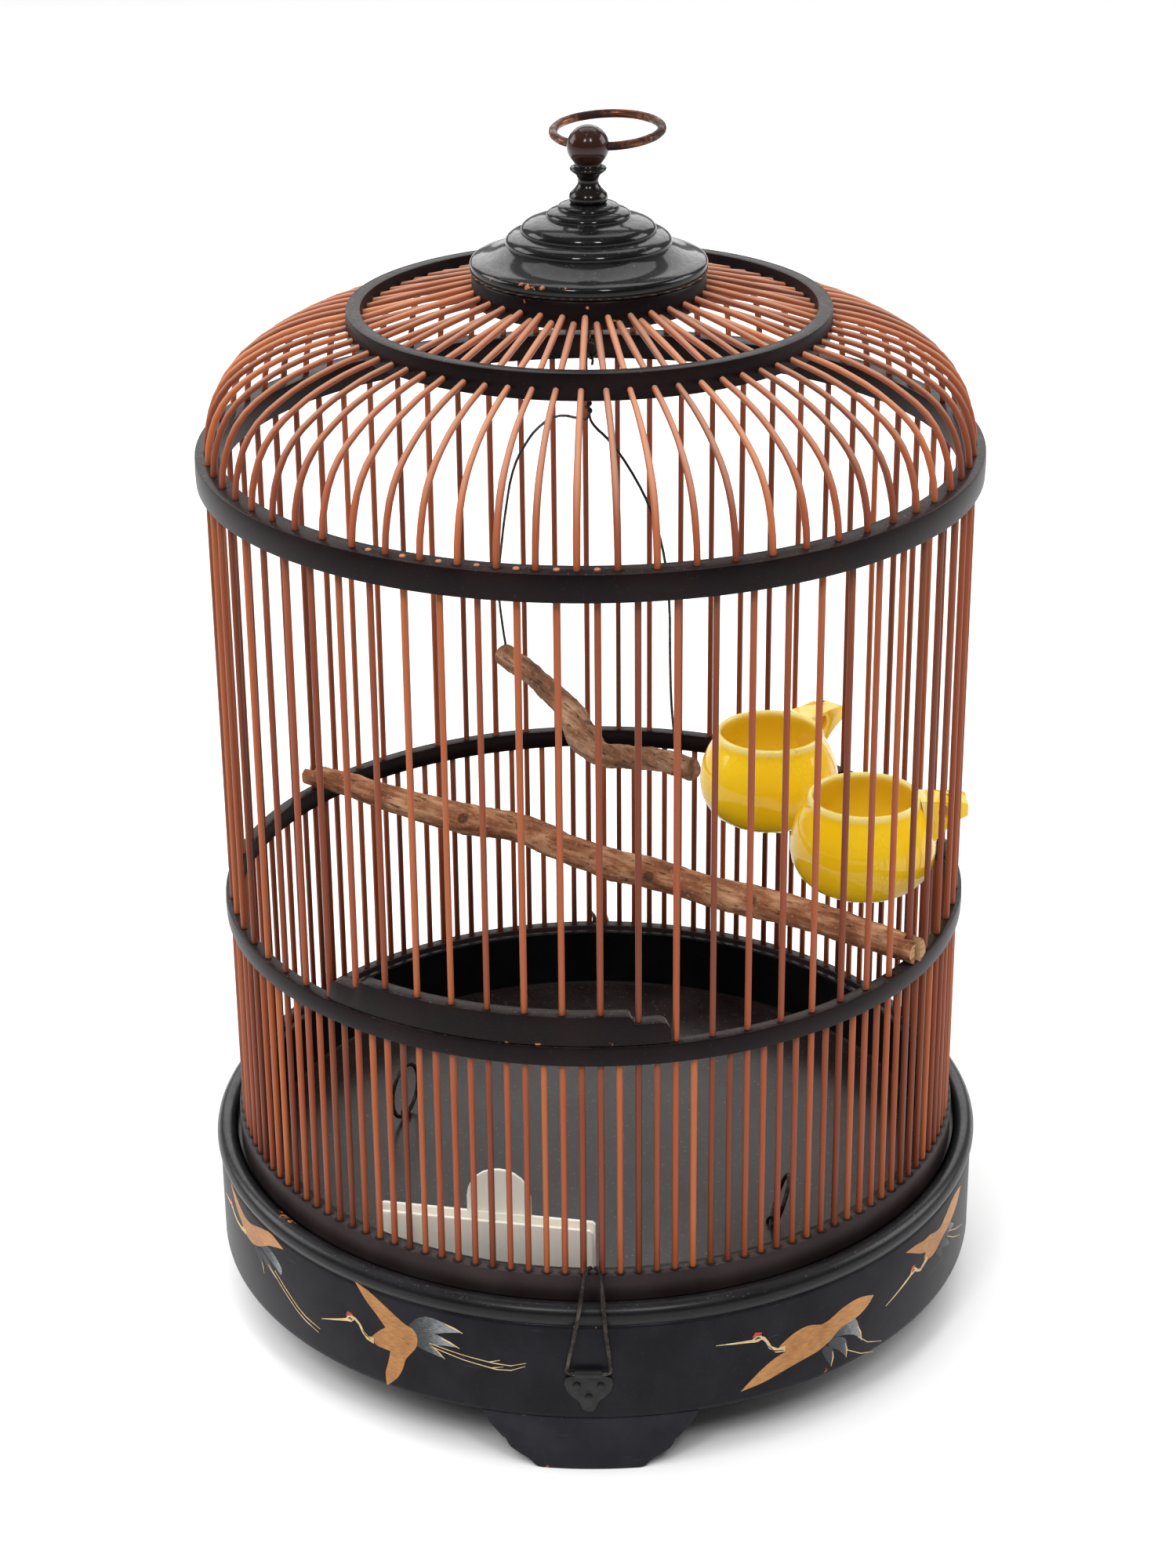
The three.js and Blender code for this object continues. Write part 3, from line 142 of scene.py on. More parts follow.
def fill_and_push(x, y, z):
    """Fills the outline that was just drawn, and extrudes the face by a step in millimetres."""
    bpy.ops.mesh.edge_face_add()
    bpy.ops.mesh.extrude_region_move(TRANSFORM_OT_translate={"value": (x * MM, y * MM, z * MM)})


def turn(name, outline, steps=96, ease=0.0, angle=38):
    """A turned shape. Its outline, as (radius, height), closes on itself or starts and ends on the axis."""
    piece = draw(name, [(r, 0, z) for r, z in outline])
    bpy.ops.mesh.spin(steps=steps, angle=2 * math.pi, center=(0, 0, 0), axis=(0, 0, 1))
    tidy_mesh()
    if ease:
        ease_edges(piece, ease)
    smooth(piece, angle)
    return piece


def ring_of_wood(name, inner, outer, bottom, top, steps=144, ease=0.5, crown=0.25):
    """A bent hoop: its faces swell a little in the middle, as scraped wood does."""
    middle = (bottom + top) / 2
    outline = [
        (inner, bottom), (outer, bottom), (outer + crown, middle), (outer, top), (inner, top),
        (inner - crown / 2, middle), (inner, bottom),
    ]
    return turn(name, outline, steps, ease)


# %% Bending wire and branches
def tube(name, points, thickness, sides=8, closed=False, radii=None, resolution=5):
    """A smooth curve through points in millimetres, given a thickness and made a mesh."""
    curve = bpy.data.curves.new(name, "CURVE")
    curve.dimensions = "3D"
    curve.resolution_u = resolution
    curve.bevel_depth = thickness / 2 * MM
    curve.bevel_resolution = (sides - 4) // 2
    curve.use_fill_caps = not closed
    spline = curve.splines.new("BEZIER")
    spline.bezier_points.add(len(points) - 1)
    spline.use_cyclic_u = closed
    for i, knot in enumerate(spline.bezier_points):
        knot.co = Vector(points[i]) * MM
        knot.handle_left_type = knot.handle_right_type = "AUTO"
        knot.radius = radii[i] if radii else 1
    piece = bpy.data.objects.new(name, curve)
    bpy.context.collection.objects.link(piece)
    pick(piece)
    bpy.ops.object.convert(target="MESH")
    piece = bpy.context.object
    piece.name = piece.data.name = name
    bpy.ops.object.mode_set(mode="EDIT")
    tidy_mesh()
    smooth(piece, 60)
    return piece


# %% Flat shapes, which can be bent round the cage
def flat(name, outline, thickness, ease=0.0):
    """A plate whose front face lies on y = 0, from an outline of (across, height)."""
    piece = draw(name, [(x, 0, z) for x, z in outline])
    fill_and_push(0, thickness, 0)
    tidy_mesh()
    if ease:
        ease_edges(piece, ease)
    return piece


def cut_across(piece, places):
    """Cuts through the piece at these places along x, which are given in metres."""
    pick(piece)
    bpy.ops.object.mode_set(mode="EDIT")
    for x in places:
        bpy.ops.mesh.select_all(action="SELECT")
        bpy.ops.mesh.bisect(plane_co=(x, 0, 0), plane_no=(1, 0, 0))
    bpy.ops.object.mode_set(mode="OBJECT")


def wrap(piece, radius, az, every=6.0):
    """Cuts the plate into narrow strips and bends it, so that its front face gets this radius."""
    low, high = (edge(v.co.x for v in piece.data.vertices) for edge in (min, max))
    count = max(1, round((high - low) / (every * MM)))
    cut_across(piece, [low + (high - low) * i / count for i in range(1, count)])
    bend = (high - low) / (radius * MM)
    modify(piece, "SIMPLE_DEFORM", deform_method="BEND", deform_axis="Z", angle=bend)
    move(piece, Matrix.Rotation(math.radians(az), 4, "Z") @ Matrix.Translation((0, -radius * MM, 0)))
    smooth(piece, 30)
    return piece


def polar(az, r, z):
    """A point at an azimuth from the front, positive to the right, in millimetres."""
    return Vector((r * math.sin(math.radians(az)), -r * math.cos(math.radians(az)), z))


def arc(x, z, r, degrees, tall=None):
    """Points on a circle round (x, z), or on an oval if its upright radius is given too."""
    angles = [math.radians(angle) for angle in degrees]
    return [(x + r * math.cos(t), z + (tall or r) * math.sin(t)) for t in angles]


def mirrored(edge, lift=0):
    """A whole outline from its right edge, which is mirrored to the left."""
    return [(-x, z + lift) for x, z in edge] + [(x, z + lift) for x, z in reversed(edge)]


def around(az, at=(0, 0, 0)):
    """Turns a piece round the upright axis, and then carries it to a point in millimetres."""
    return Matrix.Translation(Vector(at) * MM) @ Matrix.Rotation(math.radians(az), 4, "Z")


# %% [markdown]
# ## Tools for finishes
# A finish is a network of shader nodes. Written as sums it is much easier to read, so a small
# class wraps a socket, and adding or multiplying two of them adds the Math node that does it.

# %% Sums with sockets
class Level:
    def __init__(self, finish, socket):
        self.finish = finish
        self.socket = socket

    def math(self, operation, *values, clamp=False):
        sockets = dict(enumerate(values))
        return self.finish.node("ShaderNodeMath", {"operation": operation, "use_clamp": clamp}, sockets)

    def __add__(self, other):
        return self.math("ADD", self, other)

    def __sub__(self, other):
        return self.math("SUBTRACT", self, other)

    def __rsub__(self, other):
        return self.math("SUBTRACT", other, self)

    def __mul__(self, other):
        return self.math("MULTIPLY", self, other)

    def __truediv__(self, other):
        return self.math("DIVIDE", self, other)

    __radd__ = __add__
    __rmul__ = __mul__

    def between(self, low, high):
        """0 below low and 1 above high, with a smooth step. It falls instead if high is below low."""
        settings = {"interpolation_type": "SMOOTHSTEP"}
        limits = {"Value": self, "From Min": min(low, high), "From Max": max(low, high)}
        step = self.finish.node("ShaderNodeMapRange", settings, limits)
        return step if low < high else 1 - step


# %% One finish and the nodes that most of them need
class Finish:
    def __init__(self, name, **shader):
        self.material = bpy.data.materials.new(name)
        self.material.use_nodes = True
        self.tree = self.material.node_tree
        self.shader = self.tree.nodes["Principled BSDF"]
        for key, value in shader.items():
            self.shader.inputs[key.replace("_", " ")].default_value = value

    def node(self, kind, settings=None, sockets=None, output=0):
        made = self.tree.nodes.new(kind)
        for key, value in (settings or {}).items():
            if key == "stops":
                stops = made.color_ramp.elements
                while len(stops) < len(value):
                    stops.new(1)
                for stop, (place, colour) in zip(stops, value):
                    stop.position = place
                    stop.color = colour
            else:
                setattr(made, key, value)
        for key, value in (sockets or {}).items():
            if isinstance(value, Level):
                self.tree.links.new(value.socket, made.inputs[key])
            else:
                made.inputs[key].default_value = value
        return Level(self, made.outputs[output])

    def here(self):
        return self.node("ShaderNodeTexCoord", output="Object")

    def carried(self, name, output="Vector"):
        return self.node("ShaderNodeAttribute", {"attribute_name": name}, output=output)

    def part(self, vector, axis):
        return self.node("ShaderNodeSeparateXYZ", None, {0: vector}, output="XYZ".index(axis))

    def stretched(self, vector, x, y, z):
        return self.node("ShaderNodeMapping", None, {"Vector": vector, "Scale": (x, y, z)})

    def noise(self, vector, scale, detail=3.0, roughness=0.55):
        sockets = {"Vector": vector, "Scale": scale, "Detail": detail, "Roughness": roughness}
        return self.node("ShaderNodeTexNoise", None, sockets)

    def mix(self, share, first, second):
        return self.node("ShaderNodeMix", {"data_type": "RGBA"}, {0: share, 6: first, 7: second}, output=2)

    def ramp(self, value, *stops):
        return self.node("ShaderNodeValToRGB", {"stops": stops}, {"Fac": value})

    def distance(self, vector, point):
        """How far, in millimetres, a place is from a point."""
        ends = {0: vector, 1: tuple(Vector(point) * MM)}
        return self.node("ShaderNodeVectorMath", {"operation": "DISTANCE"}, ends, output="Value") * 1000

    def bump(self, height, strength, depth):
        sockets = {"Height": height, "Strength": strength, "Distance": depth * MM}
        return self.node("ShaderNodeBump", None, sockets, output="Normal")

    def set(self, **values):
        for key, value in values.items():
            socket = self.shader.inputs[key.replace("_", " ")]
            if isinstance(value, Level):
                self.tree.links.new(value.socket, socket)
            else:
                socket.default_value = value
        return self.material


def rgb(text):
    """A colour as a painter's swatch, such as 9c4a2c, in the linear numbers that Blender sums with."""
    parts = [int(text[i:i + 2], 16) / 255 for i in (0, 2, 4)]
    return tuple(c / 12.92 if c < 0.04045 else ((c + 0.055) / 1.055) ** 2.4 for c in parts) + (1,)


def dress(piece, material, body="root", nodes=()):
    """The piece gets its finish, rides on its body, and stands for its solids."""
    piece.data.materials.clear()
    piece.data.materials.append(material)
    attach(piece, body)
    if nodes:
        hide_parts(*nodes)
    return piece


# %% [markdown]
# ## The camera and the light
# The camera stands where the photographer stood, a little over a metre away, looking down.
# The floor is almost white, and a faint white sky fills in the shadows. Six soft boxes stand
# round the cage and make the long highlights: two small windows in front, one box at each side,
# and two behind and above.

# %% The camera
LENS_PIXELS = 3975.3
PHOTO_HEIGHT_PIXELS = 2000
SENSOR_MM = 36
CAMERA_AT = (0, -1.2113, 0.7778)
tilt, pan, roll = -0.4236, -0.0017, -0.0084
ahead = Vector((math.sin(pan) * math.cos(tilt), math.cos(pan) * math.cos(tilt), math.sin(tilt)))
level_right = Vector((math.cos(pan), -math.sin(pan), 0))
level_up = level_right.cross(ahead)
right = math.cos(roll) * level_right + math.sin(roll) * level_up
up = -math.sin(roll) * level_right + math.cos(roll) * level_up
lens = bpy.data.cameras.new("camera")
lens.sensor_fit = "VERTICAL"
lens.sensor_height = SENSOR_MM
lens.sensor_width = SENSOR_MM
lens.lens = LENS_PIXELS * SENSOR_MM / PHOTO_HEIGHT_PIXELS
camera = bpy.data.objects.new("camera", lens)
turned = Matrix((right, up, -ahead)).transposed().to_4x4()
camera.matrix_world = Matrix.Translation(CAMERA_AT) @ turned
bpy.context.collection.objects.link(camera)
bpy.context.scene.camera = camera
print("lens:", round(lens.lens, 2), "mm")

# %% The floor and the lights
pick()
bpy.ops.mesh.primitive_plane_add(size=60, location=(0, 0, 0))
floor = bpy.context.object
floor.name = "floor"
paper = Finish("pale_paper", Roughness=0.9)
paper.set(Base_Color=rgb("f4f4f4"))
floor.data.materials.append(paper.material)


def soft_box(name, place, aim, size, power):
    """A glowing rectangle, which the cage mirrors but which the camera itself doesn't see."""
    light = bpy.data.lights.new(name, "AREA")
    light.shape = "RECTANGLE"
    light.size, light.size_y = size
    light.energy = power
    box = bpy.data.objects.new(name, light)
    box.location = place
    box.rotation_euler = (Vector(aim) - Vector(place)).to_track_quat("-Z", "Y").to_euler()
    box.visible_camera = False
    bpy.context.collection.objects.link(box)


WINDOW, SIDE, CAGE_WAIST = (0.28, 0.5), (1.2, 1.0), (0, 0, 0.3)
soft_box("window_left", (-0.55, -1.5, 1.9), CAGE_WAIST, WINDOW, 8)
soft_box("window_right", (0.5, -1.5, 1.9), CAGE_WAIST, WINDOW, 8)
soft_box("side_left", (-1.9, 0.6, 1.2), CAGE_WAIST, SIDE, 14)
soft_box("side_right", (1.9, 0.4, 1.2), CAGE_WAIST, SIDE, 14)
soft_box("backdrop", (0, 2.4, 1.5), CAGE_WAIST, (3.2, 1.5), 24)
soft_box("rear_ceiling", (0, 1.0, 2.5), (0, 0, 0.4), (2.4, 1.1), 12)
ceiling = bpy.data.lights.new("ceiling", "SUN")
ceiling.energy = 3.0
ceiling.angle = math.radians(70)
lamp = bpy.data.objects.new("ceiling", ceiling)
lamp.rotation_euler = (math.radians(14), math.radians(-12), 0)
lamp.visible_glossy = False
bpy.context.collection.objects.link(lamp)
sky = bpy.data.worlds.new("white_room")
sky.use_nodes = True
sky.node_tree.nodes["Background"].inputs["Color"].default_value = (1, 1, 1, 1)
sky.node_tree.nodes["Background"].inputs["Strength"].default_value = 0.14
bpy.context.scene.world = sky
bpy.context.scene.view_settings.view_transform = "Standard"
print("lights:", len(bpy.data.lights))

# %% [markdown]
# ## Bamboo
# Each bar was split from a stem, drawn through a round hole and scraped, so its fibres run
# along it, and no two bars have quite the same colour. A bar carries two attributes from the
# time when it is straight: where a point lies along and round it, and the bar's own tone.
# The finish reads these, so the fibres stay with a bar when it is bent over the dome.

# %% The bamboo finish
def bamboo_finish():
    finish = Finish("scraped_bamboo", Specular_IOR_Level=0.25)
    grain = finish.carried("grain")
    tone = finish.carried("tone", "Fac")
    fibres = finish.noise(finish.stretched(grain, 1700, 1700, 22), 1.0, 4, 0.6)
    blotches = finish.noise(finish.stretched(grain, 90, 90, 26), 1.0, 3)
    shade = fibres * 0.4 + blotches * 0.35 + tone * 0.4 - 0.1
    colour = finish.ramp(
        shade, (0.12, rgb("542819")), (0.35, rgb("793c25")), (0.55, rgb("974d2e")),
        (0.75, rgb("b0643a")), (0.95, rgb("cb8c5c")),
    )
    # Upward faces are mixed towards a pale tan: a painted highlight, the light from above painted onto the
    # bars' tops.
    painted_top_highlight = finish.part(finish.node("ShaderNodeNewGeometry", output="Normal"), "Z").between(0.1, 1)
    colour = finish.mix(painted_top_highlight * (0.3 + blotches * 0.3), colour, rgb("d3a88c"))
    scrape = finish.noise(finish.stretched(grain, 2600, 2600, 30), 1.0, 2)
    return finish.set(
        Base_Color=colour,
        Roughness=0.36 + fibres * 0.25,
        Normal=finish.bump(scrape, 0.35, 0.12),
    )


BAMBOO = bamboo_finish()

# %% [markdown]
# A straight bar starts as an eight-sided cylinder. It is cut into lengths, its ends are eased,
# and each cut is made a little thicker or thinner. Every bar in the cage is a copy of it.

# %% One straight bar
BAR_WIDTH = 2.7
BAR_PLACES = 66
PITCH = 360 / BAR_PLACES
FIRST_AZ = -15.55
BAR_RADIUS = 154.9


def straight_bar(name, length, cuts):
    pick()
    bpy.ops.mesh.primitive_cylinder_add(
        vertices=8, radius=BAR_WIDTH / 2 * MM, depth=length * MM, end_fill_type="NGON",
        location=(0, 0, length / 2 * MM),
    )
    piece = bpy.context.object
    piece.name = piece.data.name = name
    bpy.ops.object.transform_apply(location=True, rotation=False, scale=False)
    ease_edges(piece, 0.35, segments=1, angle=60)
    bpy.ops.object.mode_set(mode="EDIT")
    for i in range(1, cuts):
        bpy.ops.mesh.select_all(action="SELECT")
        cut = (0, 0, length * i / cuts * MM)
        bpy.ops.mesh.bisect(plane_co=cut, plane_no=(0, 0, 1))
        swell = random.uniform(0.95, 1.05)
        bpy.ops.transform.resize(value=(swell, swell, 1), center_override=cut)
    bpy.ops.object.mode_set(mode="OBJECT")
    smooth(piece, 50)
    grain = piece.data.attributes.new("grain", "FLOAT_VECTOR", "POINT")
    piece.data.attributes.new("tone", "FLOAT", "POINT")
    for vertex, value in zip(piece.data.vertices, grain.data):
        value.vector = vertex.co
    return piece


def copy_bar(piece, number, *matrices):
    """A copy with its own tone and its own place in the grain."""
    twin = copy_of(piece)
    tone = random.random()
    for grain, value in zip(twin.data.attributes["grain"].data, twin.data.attributes["tone"].data):
        grain.vector.x += number * 31 * MM
        value.value = tone
    for matrix in matrices:
        move(twin, matrix)
    return twin


def bar_az(place):
    return FIRST_AZ + PITCH * place


# %% [markdown]
# ## The wall
# The long bars rise from the bottom hoop, through the waist hoop, to the shoulder hoop. Between
# every two of them a short bar stops in the waist hoop. Up to six pairs make one piece.

# %% Wall bars and the fence under the door
HOOP_SOCKET = 79.5
WAIST_SOCKET = 187
SHOULDER_SOCKET = 379
# each family of bars is numbered from here, so that no two bars share their grain
FENCE_FROM, DOME_FROM, DOOR_FROM = 140, 300, 400
long_bar = straight_bar("long_bar", SHOULDER_SOCKET - HOOP_SOCKET, cuts=4)
short_bar = straight_bar("short_bar", WAIST_SOCKET - HOOP_SOCKET, cuts=3)


def stand(master, place, bottom, number):
    """Puts up one bar, a little narrower or wider, turned round itself, and hardly out of true."""
    width = random.uniform(0.94, 1.03)
    scraped = Matrix.Diagonal((width, width, 1, 1))
    slack = Matrix.Rotation(math.radians(random.uniform(-0.08, 0.08)), 4, "X")
    spin = Matrix.Rotation(random.uniform(0, math.tau), 4, "Z")
    at = Matrix.Translation(polar(bar_az(place), BAR_RADIUS, bottom) * MM)
    return copy_bar(master, number, scraped, spin, slack, at)


PANEL_BARS = 6
FIRST_FIXED, FIRST_DOOR_BAR = 4, 63
walls = []
for i, first in enumerate(range(FIRST_FIXED, FIRST_DOOR_BAR, PANEL_BARS), 1):
    bars = []
    for place in range(first, min(first + PANEL_BARS, FIRST_DOOR_BAR)):
        bars.append(stand(long_bar, place, HOOP_SOCKET, 2 * place))
        bars.append(stand(short_bar, place + 0.5, HOOP_SOCKET, 2 * place + 1))
    wall = join(f"bamboo_wall_{i}", bars)
    walls.append(dress(wall, BAMBOO, "root", [f"wall_bars_{i}"]))
halves = range(-6, 8)
fence = join("bamboo_fence", [stand(short_bar, half / 2, HOOP_SOCKET, FENCE_FROM + half) for half in halves])
dress(fence, BAMBOO, "root", ["fence_bars_under_door"])
tell(*walls, fence)

# %% [markdown]
# ## The dome
# A dome bar leaves the shoulder hoop almost upright, bends over, passes through the dome hoop
# and ends in the crown's collar, every other one a little higher. A straight bar that follows a
# curve with the Curve modifier bends without changing its thickness.

# %% Bent dome bars
DOME_START = (BAR_RADIUS, 381)
DOME_BENDS = [(153.1, 398.1), (146.7, 411.6), (133.7, 422.3), (114.8, 430.8), (94.2, 436)]


def bent_bar(name, end_height):
    halfway = (68, (DOME_BENDS[-1][1] + end_height) / 2 + 0.4)
    route = [DOME_START, (BAR_RADIUS, 386), *DOME_BENDS, halfway, (41.5, end_height)]
    length = sum(math.dist(a, b) for a, b in zip(route, route[1:]))
    piece = straight_bar(name, length, cuts=24)
    path = bpy.data.curves.new(name + "_path", "CURVE")
    path.dimensions = "3D"
    path.twist_mode = "MINIMUM"
    line = path.splines.new("BEZIER")
    line.bezier_points.add(len(route) - 1)
    for knot, (r, z) in zip(line.bezier_points, route):
        knot.co = (r * MM, 0, z * MM)
        knot.handle_left_type = knot.handle_right_type = "AUTO"
    guide = bpy.data.objects.new(name + "_path", path)
    bpy.context.collection.objects.link(guide)
    modify(piece, "CURVE", object=guide, deform_axis="POS_Z")
    drop(guide)
    return piece


bent = [bent_bar("bent_bar_even", 450.1), bent_bar("bent_bar_odd", 447.2)]
DOME_PANELS = 6
in_panel = BAR_PLACES // DOME_PANELS
for i in range(DOME_PANELS):
    bars = [
        copy_bar(
            bent[place % 2], DOME_FROM + place,
            around(bar_az(place + 0.5) - 90 + random.uniform(-0.12, 0.12)),
        )
        for place in range(in_panel * i, in_panel * (i + 1))
    ]
    dome = join(f"bamboo_dome_{i + 1}", bars)
    dress(dome, BAMBOO, "root", [f"dome_bars_{i + 1}"])
print("dome bar faces:", len(bent[0].data.polygons))

# %% [markdown]
# ## Lacquer
# Black lacquer is many thin coats over wood. It is not quite black: the drum looks blue-grey
# where light grazes it, the hoops stay warm and brown, and dust greys whatever faces up.
# At edges it chips, down to the orange ground coat.

# %% Lacquer finishes
def lacquer(
    name, body, warm, dusty, rough=0.3, gloss=0.3, polish=0.2,
    upright=0.15, chips=(), sockets=None, scratches=0.0, blush=None,
):
    """chips are (point, size) in millimetres; sockets are (radius, count, first azimuth, height).
    upright is the share of the gloss on standing faces; blush is a colour above a height."""
    finish = Finish(name, Coat_Roughness=polish, Specular_IOR_Level=0.08)
    here = finish.here()
    normal = finish.node("ShaderNodeNewGeometry", output="Normal")
    facing_up = finish.part(normal, "Z").between(0.3, 0.95)
    cloud = finish.noise(here, 38, 4)
    fine = finish.noise(here, 420, 5, 0.65)
    speck = finish.noise(here, 900, 2, 0.5).between(0.66, 0.72)
    colour = finish.mix(cloud.between(0.35, 0.7), rgb(body), rgb(warm))
    if blush:
        above = (finish.part(here, "Z") * 1000).between(blush[1], blush[1] + 3)
        colour = finish.mix(above * (0.45 + cloud * 0.8), colour, rgb(blush[0]))
    dust = facing_up * (fine * 0.55 + cloud * 0.45).between(0.3, 0.75)
    colour = finish.mix(dust * 0.7, colour, rgb(dusty))
    colour = finish.mix(speck * (0.08 + facing_up * 0.6), colour, rgb("5c5b5a"))
    height = fine * 0.5
    if scratches:
        lines = finish.noise(finish.stretched(here, 30, 30, 1500), 1.0, 2, 0.4).between(0.735, 0.75)
        colour = finish.mix(lines * scratches, colour, rgb("6d6a68"))
    if sockets:
        radius, count, first, top = sockets
        x, y, z = (finish.part(here, axis) for axis in "XYZ")
        az = x.math("ARCTAN2", x, y * -1)
        out = (x * x + y * y).math("SQRT", x * x + y * y) * 1000 - radius
        turns = (az - math.radians(first)) / (math.tau / count)
        along = (turns - turns.math("FLOOR", turns + 0.5)) * (math.tau / count * radius)
        gap = (out * out + along * along).math("SQRT", out * out + along * along)
        on_top = (z * 1000).between(top - 0.6, top - 0.2)
        rim = gap.between(1.2, 1.6) * gap.between(2.9, 2.1) * on_top
        colour = finish.mix(rim * 0.85, colour, rgb("120d0c"))
        height = height + rim * 2.5
    worn = None
    flake = finish.noise(here, 520, 4, 0.7) if chips else None
    for point, size in chips:
        reach = finish.distance(here, point) / size * 0.22 + flake
        spot = reach.between(0.6, 0.56)
        worn = spot if worn is None else worn.math("MAXIMUM", worn, spot)
    if worn is not None:
        ground_coat = finish.mix(fine.between(0.35, 0.6), rgb("75401f"), rgb("b5754a"))
        colour = finish.mix(worn, colour, ground_coat)
        height = height - worn * 2
    return finish.set(
        Base_Color=colour,
        Roughness=rough + dust * 0.28 + cloud * 0.08,
        Coat_Weight=gloss * (upright + facing_up * (1 - upright)) - dust * gloss * 0.4,
        Normal=finish.bump(height, 0.3, 0.06),
    )


def chips_at(r, *chips):
    """Chips in a face of this radius, each given as (azimuth, height, size)."""
    return [(polar(az, r, z), size) for az, z, size in chips]


HOOP = dict(body="0f080a", warm="1a0e0e", dusty="3a3331", rough=0.36)
BOTTOM_TOP, WAIST_TOP, SHOULDER_TOP, RAIL_TOP = 87, 191, 386, 204
RAIL_R = 157.4
# This lacquer is lighter and greyer than the other hoops'. That is partly a dustier coat and partly painted
# light on its front face, which sits low by the drum and gets less light.
bottom_wood = lacquer(
    "bottom_hoop_lacquer", "2a2122", "352b2b", "45403f", rough=0.4,
    sockets=(BAR_RADIUS, 2 * BAR_PLACES, FIRST_AZ, BOTTOM_TOP),
)
waist_wood = lacquer("waist_hoop_lacquer", sockets=(BAR_RADIUS, BAR_PLACES, FIRST_AZ, WAIST_TOP), **HOOP)
shoulder_wood = lacquer(
    "shoulder_hoop_lacquer", sockets=(BAR_RADIUS, BAR_PLACES, FIRST_AZ + PITCH / 2, SHOULDER_TOP), **HOOP,
)
plain_wood = lacquer("plain_hoop_lacquer", **HOOP)
rail_wood = lacquer(
    "rail_lacquer", sockets=(BAR_RADIUS, BAR_PLACES, FIRST_AZ, RAIL_TOP),
    chips=chips_at(RAIL_R, (-8, 191.6, 1.5), (-12.5, 191.5, 1.2), (2.4, 192, 1.1)), **HOOP,
)
print("materials so far, with those of the frame:", len(bpy.data.materials))

# %% [markdown]
# ## The hoops
# Each hoop is a strip of wood bent round and glued, a few millimetres thick. Turning an outline
# round the cage's axis gives the same ring, and a small bevel catches the light at its edges.

# %% Four hoops
HOOPS = {
    "bottom": (152.1, 157.4, 73.4, BOTTOM_TOP, 144, 0.1, bottom_wood),
    "waist": (152.4, 157.9, 182.7, WAIST_TOP, 144, 0.2, waist_wood),
    "shoulder": (149.5, 159.7, 374.8, SHOULDER_TOP, 144, 0.2, shoulder_wood),
    "dome": (91.2, 97, 431.2, 442, 120, 0.2, plain_wood),
}
for name, (inner, outer, bottom, top, steps, crown, wood) in HOOPS.items():
    hoop = ring_of_wood(f"{name}_hoop_wood", inner, outer, bottom, top, steps, crown=crown)
    dress(hoop, wood, "root", [f"{name}_hoop"])
    tell(hoop)

# %% [markdown]
# ## The base
# The base is a lacquered drum with a half-round moulding on top. The bottom hoop stands in the
# step inside that moulding. Three cut-out feet carry the drum, and they curve with it.

# %% Base finishes
DRUM_R = 166.8
drum_coat = lacquer(
    "drum_lacquer", "131217", "1e1d22", "38383e", rough=0.34, scratches=0.35,
    chips=chips_at(DRUM_R, (-3.0, 69, 2.0), (-0.1, 69, 0.9), (34.5, 27, 1.3)),
)
RIM_CHIPS = [(-53.4, 161.5, 3.6), (-51.6, 162.5, 2.8), (-55, 160.6, 2.2)]
rim_coat = lacquer(
    "rim_lacquer", "09090a", "111113", "26272a", rough=0.36, gloss=1.0, polish=0.3, upright=0.3,
    chips=[(polar(az, r, 77.6), size) for az, r, size in RIM_CHIPS],
)
foot_coat = lacquer(
    "foot_lacquer", "1c1b20", "27262b", "38383e", rough=0.36, scratches=0.35,
    chips=chips_at(DRUM_R, (-7.2, 0.3, 1.7), (-4.6, 0.2, 1.4), (-5.9, 0, 1.3)),
)
tray_coat = lacquer("tray_lacquer", "0a0a0c", "121214", "2c2b2c", rough=0.34)
tray_floor_coat = lacquer(
    "tray_floor_lacquer", "141010", "1e1717", "352d2d", rough=0.45, gloss=0.9, polish=0.26,
)
under_coat = lacquer("floor_lacquer", "1c1a19", "2a2522", "39342f", rough=0.55)
print("materials so far, with those of the frame:", len(bpy.data.materials))

# %% Drum, moulding, floor and tray
DRUM_OUTLINE = [
    (159.6, 25.1), (166.5, 25.1), (DRUM_R, 27), (DRUM_R, 67.6), (166.2, 69.2), (159.6, 69.2),
    (159.6, 47.1), (155.6, 47.1), (155.6, 42.4), (159.6, 42.4), (159.6, 25.1),
]
drum = turn("drum", DRUM_OUTLINE, steps=160, ease=0.4)
dress(drum, drum_coat, "root", ["base_wall"])
half_round = arc(158.9 + 4.55, 73.4, 4.55, range(-40, 171, 15), tall=4.6)
MOULDING_FOOT = [(153.3, 69.3), (166.3, 69.3), (166.9, 70.2)]
MOULDING_STEP = [(158.9, 76.4), (158.9, 73), (153.3, 73), (153.3, 69.3)]
moulding = turn("moulding", [*MOULDING_FOOT, *half_round, *MOULDING_STEP], steps=160)
dress(moulding, rim_coat, "root", ["base_rim"])
BOARD_OUTLINE = [(0, 47.3), (158.8, 47.3), (159.2, 47.8), (159.2, 52.6), (158.8, 53), (0, 53)]
floor_board = turn("floor_board", BOARD_OUTLINE)
dress(floor_board, under_coat, "root", ["base_floor"])
TRAY_OUTLINE = [
    (148.2, 53.3), (151.5, 53.3), (151.5, 84.9), (150.9, 85.5), (148.9, 85.5), (148.2, 84.9), (148.2, 53.3),
]
tray_side = turn("tray_side", TRAY_OUTLINE, steps=144)
dress(tray_side, tray_coat, "root", ["tray_wall"])
TRAY_TOP = 57
DISH_OUTLINE = [
    (0, 53.3), (147.9, 53.3), (147.9, 58.6), (147.2, 57.4), (145.6, 57.05), (143, TRAY_TOP), (0, TRAY_TOP),
]
tray_bottom = turn("tray_bottom", DISH_OUTLINE, steps=144)
dress(tray_bottom, tray_floor_coat, "root", ["tray_floor"])
tell(drum, moulding, floor_board, tray_side, tray_bottom)

